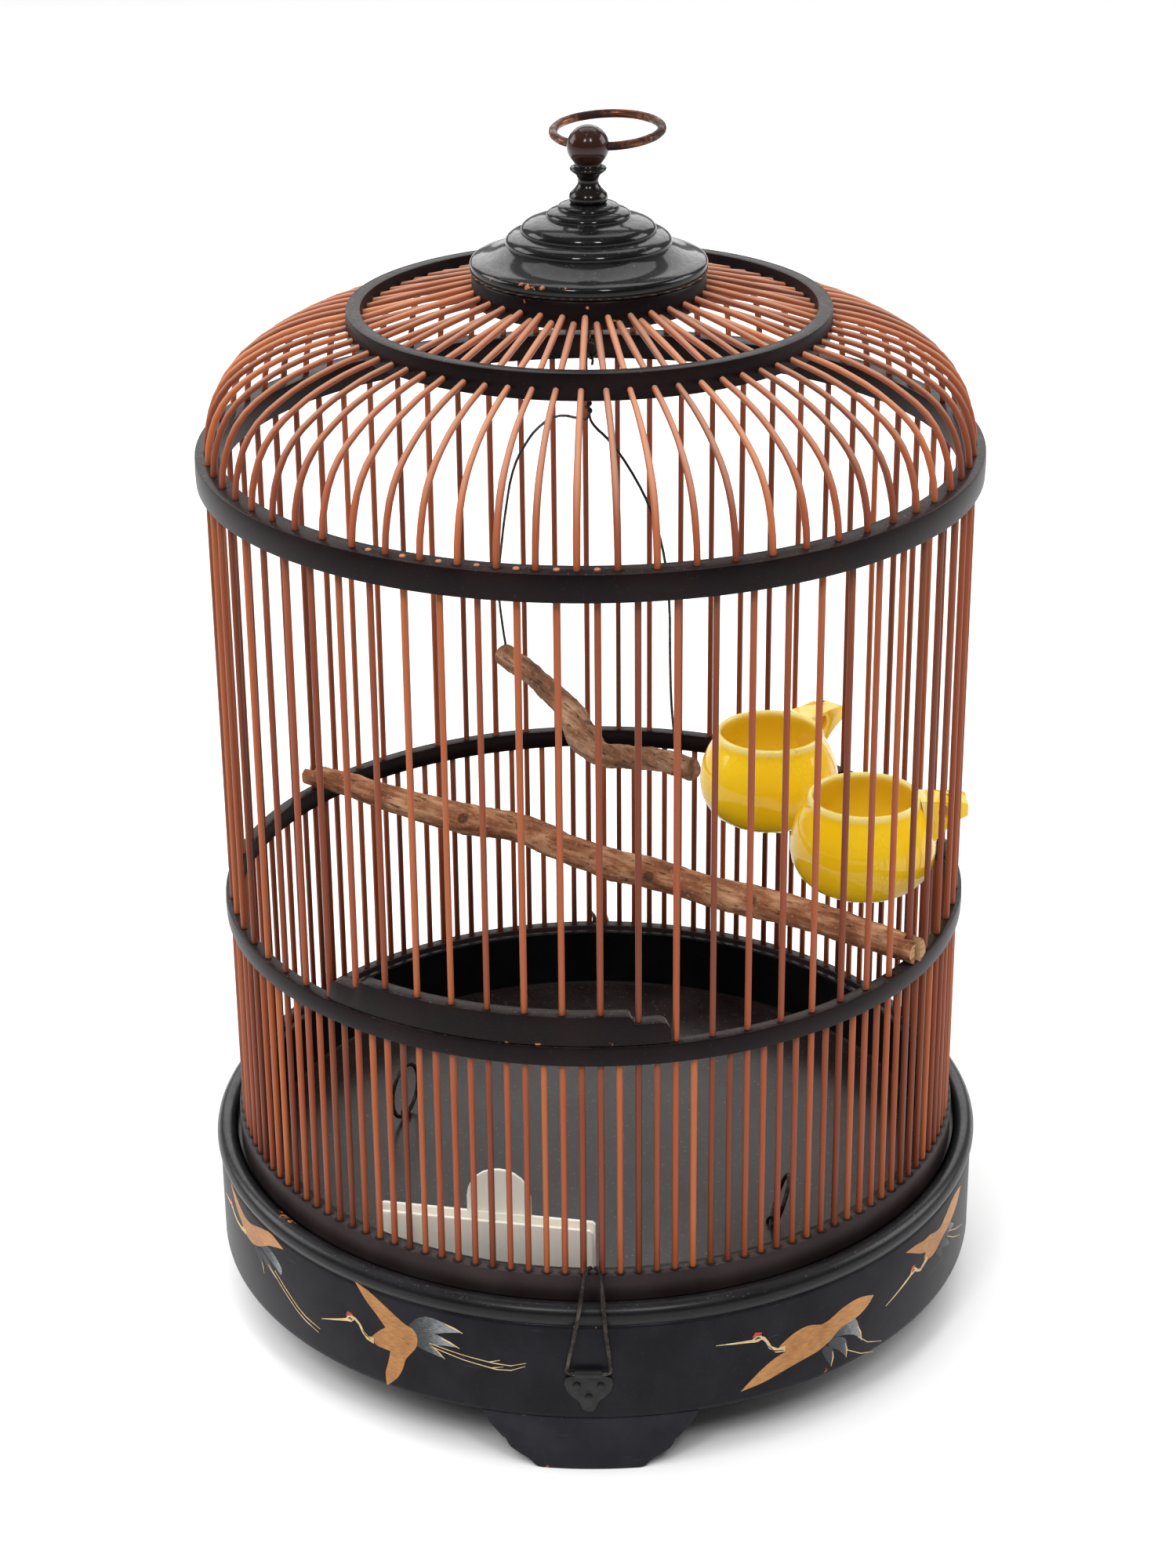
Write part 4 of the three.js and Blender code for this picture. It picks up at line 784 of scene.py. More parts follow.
# %% The feet
FOOT_EDGE = [
    (45, 24.9), (43.8, 23), (41.6, 19.2), (38.6, 15.9), (36.4, 13.4), (34.9, 12.4), (33.9, 10.2),
    (32.8, 8.6), (30.4, 6.9), (28.2, 5.4), (25.6, 4), (24, 2.6), (22.9, 1.2), (21.6, 0.3), (19.8, 0),
]
FOOT_AZ = -1.05
for i in range(3):
    board = flat(f"foot_board_{i + 1}", mirrored(FOOT_EDGE), thickness=8.8, ease=0.4)
    foot = wrap(board, DRUM_R, FOOT_AZ + 120 * i, every=4)
    dress(foot, foot_coat, "root", [f"foot_{i + 1}"])
    tell(foot)

# %% [markdown]
# ## The crown
# The dome bars end in a collar, and a turned cap covers it. Rings and hollows were cut into the
# cap on a lathe, and it is the glossiest piece of all. The finial's ball holds the hanging ring.

# %% Cap, collar and finial
COLLAR_R = 46.7
CAP_CHIPS = [(-53, 2.2), (-47, 1.2), (-34, 1.6), (-30.5, 2), (-26.5, 2.2), (-22.5, 1.4), (-11, 1.1)]
cap_coat = lacquer(
    "cap_lacquer", "050505", "0a0a0a", "242426", rough=0.3, gloss=1.0, polish=0.09, upright=0.7,
    chips=chips_at(46.9, *[(az, 460.2, size) for az, size in CAP_CHIPS]),
)
finial_coat = lacquer(
    "finial_lacquer", "0b0808", "140c0b", "201c1b", rough=0.25, gloss=1.0, polish=0.1, upright=0.6,
    blush=("2f1710", 497.5),
)
collar_coat = lacquer(
    "collar_lacquer", **HOOP,
    chips=chips_at(COLLAR_R, (-32.2, 453.4, 0.9), (-0.9, 453, 0.8), (12.4, 447.8, 1.5)),
)
CAP_OUTLINE = [
    (0, 455.5), (46.6, 455.5), (47.2, 456), (47.3, 457), (47.3, 459.2), (46.9, 460.1), (45.9, 460.7),
    (43, 461.3), (40, 462.3), (37.2, 463.6), (34.9, 465), (33.3, 466), (32.9, 466.4), (33.2, 467.3),
    (32.8, 468.6), (31.5, 469.9), (29.6, 470.6), (27.8, 470.9), (26.9, 471.3), (27, 472.2), (26.4, 473.6),
    (25, 474.8), (22.8, 475.7), (20, 476.4), (17.8, 476.8), (16.6, 477.2), (16.7, 478), (16.1, 479),
    (14.9, 479.7), (13.2, 480), (12.2, 480.3), (12.2, 481), (11.6, 481.8), (10.4, 482.3), (8.5, 482.6),
    (0, 482.6),
]
cap = turn("turned_cap", CAP_OUTLINE, angle=60)
dress(cap, cap_coat, "root", ["crown_cap"])
COLLAR_OUTLINE = [
    (39.2, 444), (46.4, 444), (COLLAR_R, 444.6), (COLLAR_R, 454.6), (46.2, 455.3), (39.2, 455.3), (39.2, 444),
]
collar = turn("collar_wood", COLLAR_OUTLINE, ease=0.3)
HEAD_OUTLINE = [(0, -0.8), (0.75, -0.8), (0.75, 0), (0.65, 0.25), (0.35, 0.42), (0, 0.48)]
nail_head = turn("collar_nail", HEAD_OUTLINE, steps=12, angle=60)
QUARTER_TURN = Matrix.Rotation(math.radians(90), 4, "X")
COLLAR_NAILS = [
    (-32.2, 453.3), (-0.9, 452.9), (12.4, 447.9), (60, 453), (104, 452.6), (150, 453.2), (-78, 452.8),
    (-122, 453.1), (-166, 452.7),
]
pins = []
for az, z in COLLAR_NAILS:
    pin = copy_of(nail_head)
    move(pin, around(az) @ Matrix.Translation(Vector((0, -46.15, z)) * MM) @ QUARTER_TURN)
    pins.append(pin)
drop(nail_head)
collar = join("nailed_collar", [collar, *pins])
dress(collar, collar_coat, "root", ["crown_collar"])
BALL_R, BALL_Z = 8.4, 504.8
ball = arc(0, BALL_Z, BALL_R, range(-48, 91, 12))
FINIAL_OUTLINE = [
    (0, 482.7), (6.9, 482.7), (7.5, 483.4), (7.75, 484.8), (7.4, 486.2), (6.3, 487.4), (5.1, 488.6),
    (4.3, 489.9), (4.05, 491.2), (4.3, 492.6), (5.1, 493.9), (6.4, 494.9), (7.2, 495.5), (7.35, 496.2),
    (6.9, 496.8), (5.7, 497.2), (5.4, 497.9),
]
finial = turn("turned_finial", [*FINIAL_OUTLINE, *ball[:-1], (0, BALL_Z + BALL_R)], steps=48, angle=60)
dress(finial, finial_coat, "root", ["finial"])
tell(cap, collar, finial)

# %% [markdown]
# ## Metal
# The hanging ring is old copper, brown with brighter worn patches. The latches, ring pulls and
# swing are iron wire. A cloud of noise decides where a metal is worn and where its skin is dark.

# %% Metal finishes
def metal(name, dark, bright, rough, metallic=0.9, scale=160):
    finish = Finish(name)
    here = finish.here()
    cloud = finish.noise(here, scale, 4, 0.6)
    fine = finish.noise(here, scale * 8, 3)
    worn = (cloud * 0.7 + fine * 0.3).between(0.42, 0.62)
    return finish.set(
        Base_Color=finish.mix(worn, rgb(dark), rgb(bright)),
        Metallic=metallic - (1 - worn) * 0.35,
        Roughness=rough + (1 - worn) * 0.25,
        Normal=finish.bump(fine + cloud, 0.3, 0.08),
    )


COPPER = metal("antique_copper", "2c1610", "80503c", rough=0.3, scale=70)
IRON = metal("worn_iron_wire", "1c1816", "4f4843", rough=0.36)
PLATE_IRON = metal("latch_plate_iron", "0d0c0c", "201e1d", rough=0.42, metallic=0.4, scale=220)
print("materials so far, with those of the frame:", len(bpy.data.materials))

# %% The hanging ring
RING_R = 21.5
ring_points = []
for i in range(16):
    t = math.tau * i / 16
    r = RING_R + 0.12 * math.sin(2 * t + 1) + 0.08 * math.sin(5 * t)
    ring_points.append((r * math.cos(t), RING_R + r * math.sin(t), 0))
ring = tube("bent_ring", ring_points, thickness=3.5, sides=12, closed=True, resolution=6)
RING_AZ, RING_LEAN = -21.2, 5.2
move(ring, around(RING_AZ, (0, 0, BALL_Z)) @ Matrix.Rotation(math.radians(RING_LEAN), 4, "X"))
dress(ring, COPPER, "ring", ["hanging_ring"])
tell(ring)

# %% Latch wires, plates and nails
LATCH_AZ = -1.2
PIVOT_R, PIVOT_Z = 169.0, 48.5
BAIL_LEAN = 1.8 / 40
BAIL_LEG = [
    (8.6, 0, 0.8), (8.4, -0.2, 4.1), (6.1, -0.8, 20), (4.9, -0.5, 29.6), (3.9, 3.1, 37.2), (3.1, 7.8, 41.2),
    (2.2, 10.9, 41.9), (1.3, 12.8, 41.4), (1.2, 15.4, 39.6),
]
leg = [(x + BAIL_LEAN * z, -(PIVOT_R - out), PIVOT_Z + z) for x, out, z in BAIL_LEG]
other = [(-x + BAIL_LEAN * z, -(PIVOT_R - out), PIVOT_Z + z) for x, out, z in BAIL_LEG]
cross = [(x, -PIVOT_R, PIVOT_Z) for x in (-7.4, -3, 3, 7.4)]
bail_points = [*reversed(other), *cross, *leg]
SHIELD = [
    (4.2, 0.9), (5, -1.6), (7.2, -2.2), (9.4, -3.2), (9.9, -6), (8.8, -9.4), (6.6, -12.2), (4.2, -14.2),
    (3.4, -15.8), (2.6, -18), (1.2, -19.2),
]
SHIELD_R = 168
NAILS = [(-4.95, -6.5), (4.95, -6.5), (0, -12.1)]
KNUCKLE_R, BORE_R = 1.9, 1.2
knuckle_outline = arc(0, 0, KNUCKLE_R, range(-60, 271, 30)) + arc(0, 0, BORE_R, range(270, -61, -30))
nail_profile = [(0, -4), (0.5, -3.8), (0.5, 0), (1.5, 0.05), (1.55, 0.35), (1.25, 0.75), (0.7, 1), (0, 1.05)]
for side, az in (("front", LATCH_AZ), ("rear", LATCH_AZ + 180)):
    bail = tube(f"bail_{side}", bail_points, thickness=1.9, resolution=4)
    move(bail, around(az))
    dress(bail, IRON, f"{side}_bail", [f"latch_bail_{side}"])
    shield = flat(f"shield_{side}", mirrored(SHIELD, PIVOT_Z), thickness=0.8)
    cut_across(shield, [x * MM for x in (-6, -2, 2, 6)])
    ease_edges(shield, 0.22)
    move(shield, Matrix.Translation((0, -SHIELD_R * MM, 0)))
    knuckle = draw(f"knuckle_{side}", [(-5.5, y - PIVOT_R, z + PIVOT_Z) for y, z in knuckle_outline])
    fill_and_push(11, 0, 0)
    tidy_mesh()
    plate = join(f"latch_shield_{side}", [shield, knuckle])
    smooth(plate, 35)
    move(plate, around(az))
    dress(plate, PLATE_IRON, "root", [f"latch_plate_{side}"])
    for i, (x, z) in enumerate(NAILS, 1):
        nail = turn(f"nail_{side}_{i}", nail_profile, steps=14, angle=50)
        on_shield = Matrix.Translation(Vector((x, -SHIELD_R - 0.1, PIVOT_Z + z)) * MM)
        move(nail, around(az) @ on_shield @ QUARTER_TURN)
        dress(nail, PLATE_IRON, "root", [f"latch_nail_{side}_{i}"])
    tell(bail, plate)

# %% [markdown]
# ## The door
# The door's seven bars stand in a rail that lies on the waist hoop. Its middle is raised, and
# its lower ends go round two fixed bars, which guide it when it is lifted.

# %% The rail and its bars
RAIL_STEP = [
    (72.8, 0), (72.8, 3.6), (72.2, 6.4), (70.8, 8.3), (68.8, 9.15), (58.2, 9.15), (57.4, 9.9), (57.1, 11.2),
    (56.4, 12.3), (55.4, 12.7),
]
RAIL_FOOT = WAIST_TOP + 0.3
rail_board = flat("rail_board", mirrored(RAIL_STEP, RAIL_FOOT), thickness=6.8, ease=0.35)
rail = wrap(rail_board, RAIL_R, FIRST_AZ, every=5)
dress(rail, rail_wood, "door", ["door_rail"])
DOOR_BAR_BOTTOM, DOOR_BAR_TOP = 191.6, 386.6
door_bar = straight_bar("door_bar", DOOR_BAR_TOP - DOOR_BAR_BOTTOM, cuts=4)
door_bars = [stand(door_bar, place, DOOR_BAR_BOTTOM, DOOR_FROM + place) for place in range(-3, 4)]
door = join("bamboo_door", door_bars)
dress(door, BAMBOO, "door", ["door_bars"])
tell(rail, door)
drop(long_bar, short_bar, door_bar, *bent)

# %% [markdown]
# ## The swing
# One wire makes the swing's frame. It goes through the ends of a small branch, bends inwards,
# and its two ends are twisted together under the hook that hangs in the eye below the crown.

# %% Swing wire and eye
SWING_TURN, SWING_X, SWING_Z, SWING_RISE = -58.8, 78, 266, 155
LEFT_WIRE = [
    (-0.909, -0.02), (-0.93, 0.02), (-0.965, 0.08), (-1.005, 0.2), (-0.96, 0.33), (-0.905, 0.44),
    (-0.818, 0.565), (-0.694, 0.652), (-0.522, 0.733), (-0.308, 0.792), (-0.1, 0.812), (-0.035, 0.82),
    (-0.012, 0.845), (-0.02, 0.87), (-0.031, 0.93),
]
RIGHT_WIRE = [
    (0.841, -0.02), (0.825, 0.05), (0.79, 0.16), (0.775, 0.3), (0.765, 0.44), (0.709, 0.565),
    (0.603, 0.652), (0.417, 0.733), (0.174, 0.794), (0.04, 0.812), (0.004, 0.824), (-0.004, 0.842),
]


def swing_points(shares):
    return [(x * SWING_X, 0, SWING_Z + z * SWING_RISE) for x, z in shares]


hook = [(x, 0, z) for x, z in arc(0, 418.6, 2.4, (180, 135, 90, 45, 0, -40))]
left_wire = tube("left_wire", swing_points(LEFT_WIRE) + hook, thickness=1.2, sides=6, resolution=3)
twist = []
for i in range(13):
    t = math.radians(90 * i)
    z = 396.5 + 0.75 * i
    twist.append((-1.1 - 0.06 * i + 1.1 * math.cos(t), 1.1 * math.sin(t), z))
right_wire = tube("right_wire", swing_points(RIGHT_WIRE) + twist, thickness=1.2, sides=6, resolution=3)
swing = join("swing_frame", [left_wire, right_wire])
move(swing, around(SWING_TURN))
dress(swing, IRON, "swing", ["swing_wire"])
loop = [(0, y, z) for y, z in arc(0, 422.8, 3.5, range(-90, 226, 30))]
shank = [(0, -2.2, 425.6), (0, -0.3, 428.5), (0, 0, 434), (0, 0, 460)]
eye = tube("hook_eye", loop + shank, thickness=1.6, resolution=3)
move(eye, around(SWING_TURN))
dress(eye, IRON, "root", ["swing_eye"])
tell(swing, eye)

# %% [markdown]
# ## Branches
# Both perches are natural twigs with their bark on. A tube gives the run of the twig and its
# knots, and displacing its surface with a cloud texture gives the lumps. The bark is rough,
# brown and streaked along the twig, and the sawn ends are pale.

# %% Bark and sawn wood
def bark_finish(name, turn_deg, dark, mid, pale, knots):
    """Streaks along a twig that lies turned by an angle, with dark cracks, pale spots and round scars."""
    finish = Finish(name, Specular_IOR_Level=0.25)
    turned_back = {"Vector": finish.here(), "Rotation": (0, 0, math.radians(turn_deg))}
    here = finish.node("ShaderNodeMapping", {"vector_type": "TEXTURE"}, turned_back)
    streaks = finish.noise(finish.stretched(here, 45, 320, 320), 1.0, 5, 0.65)
    cloud = finish.noise(here, 60, 4)
    cracks = finish.noise(finish.stretched(here, 120, 900, 900), 1.0, 3, 0.6).between(0.4, 0.3)
    spots = finish.noise(here, 620, 3).between(0.6, 0.7)
    colour = finish.ramp(streaks * 0.6 + cloud * 0.4, (0.33, rgb(dark)), (0.49, rgb(mid)), (0.66, rgb(pale)))
    colour = finish.mix(cracks * 0.75, colour, rgb("33201a"))
    lifted = cracks * -1
    for knot in knots:
        reach = finish.distance(finish.here(), knot) + cloud * 3
        scar = reach.between(4.4, 3.2) * reach.between(1.2, 2.4)
        colour = finish.mix(scar * 0.7, colour, rgb("3a2318"))
        lifted = lifted - scar
    colour = finish.mix(spots * 0.35, colour, rgb("c4a184"))
    height = streaks * 1.3 + lifted + spots * 0.3
    return finish.set(
        Base_Color=colour, Roughness=0.75 + streaks * 0.15, Normal=finish.bump(height, 0.9, 0.6),
    )


def sawn_finish():
    finish = Finish("sawn_end", Specular_IOR_Level=0.2)
    here = finish.here()
    fibres = finish.noise(here, 1400, 3)
    colour = finish.mix(fibres, rgb("8d6a4c"), rgb("c09a70"))
    return finish.set(Base_Color=colour, Roughness=0.8 + fibres * 0.1, Normal=finish.bump(fibres, 0.5, 0.2))


lumps = bpy.data.textures.new("lumps", "CLOUDS")
lumps.noise_scale = 0.009
lumps.noise_depth = 2
ridges = bpy.data.textures.new("ridges", "CLOUDS")
ridges.noise_scale = 0.0025


def twig(name, points, radii, thickness):
    """A lumpy tube, and which of its faces are the sawn ends."""
    piece = tube(name, points, thickness, sides=16, radii=radii, resolution=12)
    ends = [f.index for f in piece.data.polygons if len(f.vertices) > 4]
    modify(piece, "DISPLACE", texture=lumps, strength=1.5 * MM, mid_level=0.5, texture_coords="LOCAL")
    modify(piece, "DISPLACE", texture=ridges, strength=0.7 * MM, mid_level=0.5, texture_coords="LOCAL")
    return piece, ends


# %% The swing's perch
SWING_PERCH = [
    (-74.2, 0, 266), (-66, -0.6, 265.8), (-53.8, -0.5, 265.5), (-40, -1.2, 264.4), (-28, -1.8, 262.6),
    (-15.7, -2.4, 261), (-6, -4.6, 259.4), (0.7, -6.5, 257), (10, -7.6, 255.8), (20.1, -8.7, 255.4),
    (34.8, -4.3, 258.2), (52, -0.8, 262.4), (64, 0.6, 265), (74.6, 1.6, 266),
]
SWING_RADII = [1.08, 1.12, 1.06, 1.05, 1.1, 1.2, 1.38, 1.52, 1.4, 1.16, 1.06, 1.08, 1.1, 1.0]
swing_knots = [polar(SWING_TURN + 40, 6, 262), polar(-20, 30, 262)]
swing_bark = bark_finish("swing_bark", SWING_TURN, "49301f", "7d563d", "b48e70", swing_knots)
SAWN = sawn_finish()


def dress_twig(piece, ends, bark, body, node):
    dress(piece, bark, body, [node])
    piece.data.materials.append(SAWN)
    for index in ends:
        piece.data.polygons[index].material_index = 1
    smooth(piece, 60)


swing_twig, swing_ends = twig("swing_twig", SWING_PERCH, SWING_RADII, 9)
move(swing_twig, around(SWING_TURN))
dress_twig(swing_twig, swing_ends, swing_bark, "swing", "swing_perch")

# %% The long perch, notched round a bar at each end
LONG_PERCH = [
    (-130.3, 90.3), (-118.3, 83.3), (-106, 74.2), (-91.7, 63.2), (-78, 53.6), (-64.5, 45.1), (-55, 39.5),
    (-42, 34.8), (-30.5, 28.9), (-20.5, 18.9), (-12, 9.3), (0, -0.6), (10.4, -9.6), (20.4, -13.6),
    (36, -24.6), (52.6, -36), (66.8, -44), (80.6, -51.5), (94.6, -62), (107.8, -71.9), (120, -81.6),
    (130.7, -90.4),
]
LONG_RADII = [
    0.86, 0.96, 1.06, 1.14, 1.2, 1.24, 1.32, 1.22, 1.2, 1.28, 1.22, 1.24, 1.34, 1.28, 1.22, 1.24, 1.3, 1.24,
    1.2, 1.18, 1.1, 1.04,
]
long_bark = bark_finish(
    "long_bark", -35, "4a2817", "8a583b", "c49974",
    [(-57, 34, 200), (-32, 24, 201), (0, -6, 199), (24, -22, 198), (66, -49, 200), (95, -67, 198)],
)
LONG_PERCH_Z = 197
long_twig = twig("long_twig", [(x, y, LONG_PERCH_Z) for x, y in LONG_PERCH], LONG_RADII, 10.6)[0]


def cutter(name, az, r, depth, width, low, high):
    """A block that stands at an azimuth and radius, to be cut out of another piece."""
    pick()
    bpy.ops.mesh.primitive_cube_add(size=MM)
    block = bpy.context.object
    block.name = name
    block.data.transform(Matrix.Diagonal((width, depth, high - low, 1)))
    move(block, around(az) @ Matrix.Translation(Vector((0, -r, (low + high) / 2)) * MM))
    return block


PERCH_BARS = (13, 46)
blocks = []
for place in PERCH_BARS:
    az = bar_az(place)
    blocks.append(cutter("fork", az, 161, depth=15.5, width=3.9, low=185, high=210))
    blocks.append(cutter("bearing", az, 155.5, depth=26, width=40, low=180, high=WAIST_TOP + 0.25))
for block in blocks:
    modify(long_twig, "BOOLEAN", object=block, operation="DIFFERENCE", solver="EXACT")
drop(*blocks)
long_ends = [
    f.index for f in long_twig.data.polygons
    if f.center.xy.length > 152 * MM and abs(f.normal.z) < 0.5 and f.area > 4 * MM * MM
]
dress_twig(long_twig, long_ends, long_bark, "perch", "long_perch")
tell(swing_twig, long_twig)

# %% [markdown]
# ## The cups
# The feeding cups are thrown pots with a thick yellow glaze. It is thin and pale at the rim,
# lighter inside, and crazed with hair cracks. A lug at the mouth hooks round one wall bar.

# %% Glaze
def glaze_finish():
    finish = Finish("yellow_glaze", Coat_Roughness=0.05, Specular_IOR_Level=0.1)
    here = finish.here()
    cloud = finish.noise(here, 45, 3)
    depth = finish.carried("inside", "Fac")
    sockets = {"Vector": here, "Scale": 260.0}
    crazing = finish.node("ShaderNodeTexVoronoi", {"feature": "DISTANCE_TO_EDGE"}, sockets)
    hair = crazing.between(0.03, 0.006) * cloud.between(0.52, 0.62)
    colour = finish.mix(cloud.between(0.3, 0.7), rgb("f9c40e"), rgb("fccf20"))
    colour = finish.mix(finish.carried("rim", "Fac") * 0.75, colour, rgb("f7ea9a"))
    colour = finish.mix(depth * 0.8, colour, rgb("f8dc40"))
    colour = finish.mix(hair * 0.25, colour, rgb("b98a1e"))
    return finish.set(
        Base_Color=colour, Roughness=0.3 + cloud * 0.06, Coat_Weight=0.75 - hair * 0.2,
        Normal=finish.bump(cloud - hair * 0.3, 0.15, 0.4),
    )


GLAZE = glaze_finish()

# %% Two hooked cups
CUP_OUTLINE = [
    (0, 0.9), (13.6, 0.9), (14.4, 0), (15.6, 0), (16.6, 0.9), (20.6, 2.2), (24.9, 4.9), (28.4, 8.8),
    (30.6, 13.6), (31.4, 18.6), (31.3, 23.6), (30.2, 28.8), (28.2, 33.8), (25.9, 38), (24.6, 40.6),
    (24.3, 42.4), (24, 43.4), (23.3, 43.9), (22.5, 43.6), (22, 42.6), (22.1, 41), (23.4, 38.4),
    (25.7, 33.8), (27.6, 28.8), (28.6, 23.4), (28.4, 17.6), (26.8, 12.4), (23.6, 8), (18.6, 5), (12, 3.9),
    (0, 3.6),
]
CUP_HEIGHT = 44


def cup(name, az, distance, mouth, place, body, node):
    """A cup whose lug reaches sideways to a wall bar. It is made in front and then turned to its azimuth."""
    jar = turn(name + "_jar", CUP_OUTLINE, steps=56, angle=60)
    move(jar, Matrix.Translation((0, -distance * MM, (mouth - CUP_HEIGHT) * MM)))
    side = 1 if az > bar_az(place) else -1
    near = abs(math.radians(az - bar_az(place)) * BAR_RADIUS) - 1.6
    far_side, near_side = near + 4.2, near - 8.6
    xs = sorted([-side * far_side, -side * near_side])
    start, stop = distance + 23.4, BAR_RADIUS + 4.7
    side_view = [
        (start, 0), (start + 7, -0.2), (stop - 3, -0.4), (stop, -1.4), (stop, -6.8), (stop - 6, -10),
        (start + 6, -19.5), (start + 5, -23),
    ]
    lug = draw(name + "_lug", [(xs[0], -y, mouth - 0.3 + z) for y, z in side_view])
    fill_and_push(xs[1] - xs[0], 0, 0)
    tidy_mesh()
    notch = cutter("notch", 0, 0, depth=3.2, width=17, low=-10, high=10)
    at_bar = Matrix.Translation(Vector((-side * 7, -BAR_RADIUS, mouth - 5)) * MM)
    move(notch, around(bar_az(place) - az) @ at_bar)
    pick()
    bpy.ops.mesh.primitive_cylinder_add(
        vertices=20, radius=2.1 * MM, depth=30 * MM, rotation=(0, math.radians(90), 0),
        location=Vector((sum(xs) / 2, -(distance + 33.1), mouth - 5.5)) * MM,
    )
    hole = bpy.context.object
    hole.scale = (1.6, 1, 1.2)
    for tool in (notch, hole):
        modify(lug, "BOOLEAN", object=tool, operation="DIFFERENCE", solver="EXACT")
    drop(notch, hole)
    ease_edges(lug, 1.2, segments=3, angle=35)
    piece = join(name, [jar, lug])
    inside = piece.data.attributes.new("inside", "FLOAT", "POINT")
    rim = piece.data.attributes.new("rim", "FLOAT", "POINT")
    for vertex, deep, lip in zip(piece.data.vertices, inside.data, rim.data):
        x, y, z = vertex.co.x / MM, vertex.co.y / MM + distance, vertex.co.z / MM - (mouth - CUP_HEIGHT)
        r = math.hypot(x, y)
        faces_in = vertex.normal.to_2d().dot(Vector((x, y))) < 0
        within = r < 22.3 or (z > 3 and r < 28.8 and faces_in)
        deep.value = 1.0 if within and z < 42 and r < 29 else 0.0
        lip.value = 1.0 if z > 42.2 and r < 26 else 0.0
    smooth(piece, 50)
    move(piece, around(az))
    return dress(piece, GLAZE, body, [node])


front_cup = cup("yellow_cup_front", 90, 116, 226, 19, "front_cup", "cup_front")
rear_cup = cup("yellow_cup_rear", 134.7, 112.5, 222, 28, "rear_cup", "cup_rear")
tell(front_cup, rear_cup)

# %% [markdown]
# ## On the tray
# Two rings of thin wire lift the tray out. Each turns in a staple. A milky plastic clip stands
# there too, for holding greens: two thin jaws and a thumb tab with a raised edge.

# %% Ring pulls
PULLS = [("left", -103.7, 88.7, 65, 0, 12.1), ("right", 46.4, 104, 86, 18, 11.1)]
ARCH_SIDE = [(0, -1.9, -2.4), (0, -1.9, 0.6), (0, -1.5, 2.3)]
ARCH = [*ARCH_SIDE, (0, 0, 3.1), *[(0, -y, z) for _, y, z in reversed(ARCH_SIDE)]]
for side, az, distance, heading, lean, size in PULLS:
    foot_at = polar(az, distance, TRAY_TOP)
    circle = [(x, 0, z) for x, z in arc(0, size, size, range(-90, 270, 30))]
    pull = tube(f"pull_ring_{side}", circle, thickness=1.8, closed=True)
    move(pull, around(heading, foot_at + Vector((0, 0, 1.2))) @ Matrix.Rotation(math.radians(lean), 4, "X"))
    dress(pull, IRON, f"{side}_pull", [f"ring_pull_{side}"])
    staple = tube(f"wire_staple_{side}", ARCH, thickness=1.4)
    move(staple, around(heading, foot_at))
    dress(staple, IRON, "root", [f"staple_{side}"])
    tell(pull, staple)

# %% The clip
def plastic_finish():
    finish = Finish("milky_plastic", Subsurface_Weight=0.2, Subsurface_Scale=0.006, Specular_IOR_Level=0.2)
    here = finish.here()
    cloud = finish.noise(here, 30, 3)
    flow = finish.noise(finish.stretched(here, 300, 300, 12), 1.0, 3)
    return finish.set(
        Base_Color=finish.mix(cloud * 0.6 + flow * 0.4, rgb("fff6e6"), rgb("fffcf4")),
        Roughness=0.34 + flow * 0.15, Normal=finish.bump(flow, 0.15, 0.15),
    )


PLASTIC = plastic_finish()
HALF, LOW_LIP = 45.2, 4
blade = [
    (-HALF, 0), (-HALF, 30.6), (-HALF + 1.4, 32), (-8.6, 30.9), (18.6, 30.1), (HALF - 1.2, 29.5),
    (HALF, 28.4), (HALF, 0),
]
lip = [(-HALF, 0), (-HALF, LOW_LIP), (HALF, LOW_LIP), (HALF, 0)]
clip_place = around(-8.6, polar(-21.8, 122.3, TRAY_TOP + 0.35))
LUG_R, LUG_WIDTH, PIN_HEIGHT = 1.95, 3, 20
pin_lug = arc(0, PIN_HEIGHT, LUG_R, range(0, 360, 30))


def plate_at(y, name, outline, thickness, ease=0.0):
    """A flat part of the clip, with its front face at a depth."""
    piece = flat(name, outline, thickness, ease)
    move(piece, Matrix.Translation((0, y * MM, 0)))
    return piece


def lug_pair(name, outer, y0, y1):
    """Two round lugs on the pin, each with a web that joins it to its jaw between two depths."""
    made = []
    for sign in (-1, 1):
        x = outer if sign > 0 else LUG_WIDTH - outer
        lug = draw(f"{name}_{sign}", [(x, y, z) for y, z in pin_lug])
        fill_and_push(-LUG_WIDTH, 0, 0)
        tidy_mesh()
        corners = [(x - LUG_WIDTH, 19), (x, 19), (x, 21), (x - LUG_WIDTH, 21)]
        made += [lug, plate_at(y0, f"{name}_web_{sign}", corners, y1 - y0)]
    return made


FRONT_Y, BACK_Y, BLADE_THICK, LIP_THICK = -4.2, 2.6, 1.6, 3.9
front_blade = plate_at(FRONT_Y, "front_blade", blade, BLADE_THICK, ease=0.3)
front_lip = plate_at(FRONT_Y, "front_lip", lip, LIP_THICK, ease=0.25)
front_jaw = join("clip_front", [front_blade, front_lip, *lug_pair("front_lug", 13, -3.4, -0.6)])
smooth(front_jaw)
move(front_jaw, clip_place)
dress(front_jaw, PLASTIC, "clip_front", ["clip_jaw_front"])
back_blade = plate_at(BACK_Y, "back_blade", blade, BLADE_THICK, ease=0.3)
back_lip = plate_at(BACK_Y + BLADE_THICK - LIP_THICK, "back_lip", lip, LIP_THICK, ease=0.25)
TAB_R, TAB_X, TAB_Z = 13.4, 5, 38
tab_arch = arc(TAB_X, TAB_Z, TAB_R, range(0, 181, 15))
tab_outline = [(TAB_X + TAB_R, 8), *tab_arch, (TAB_X - TAB_R, 8)]
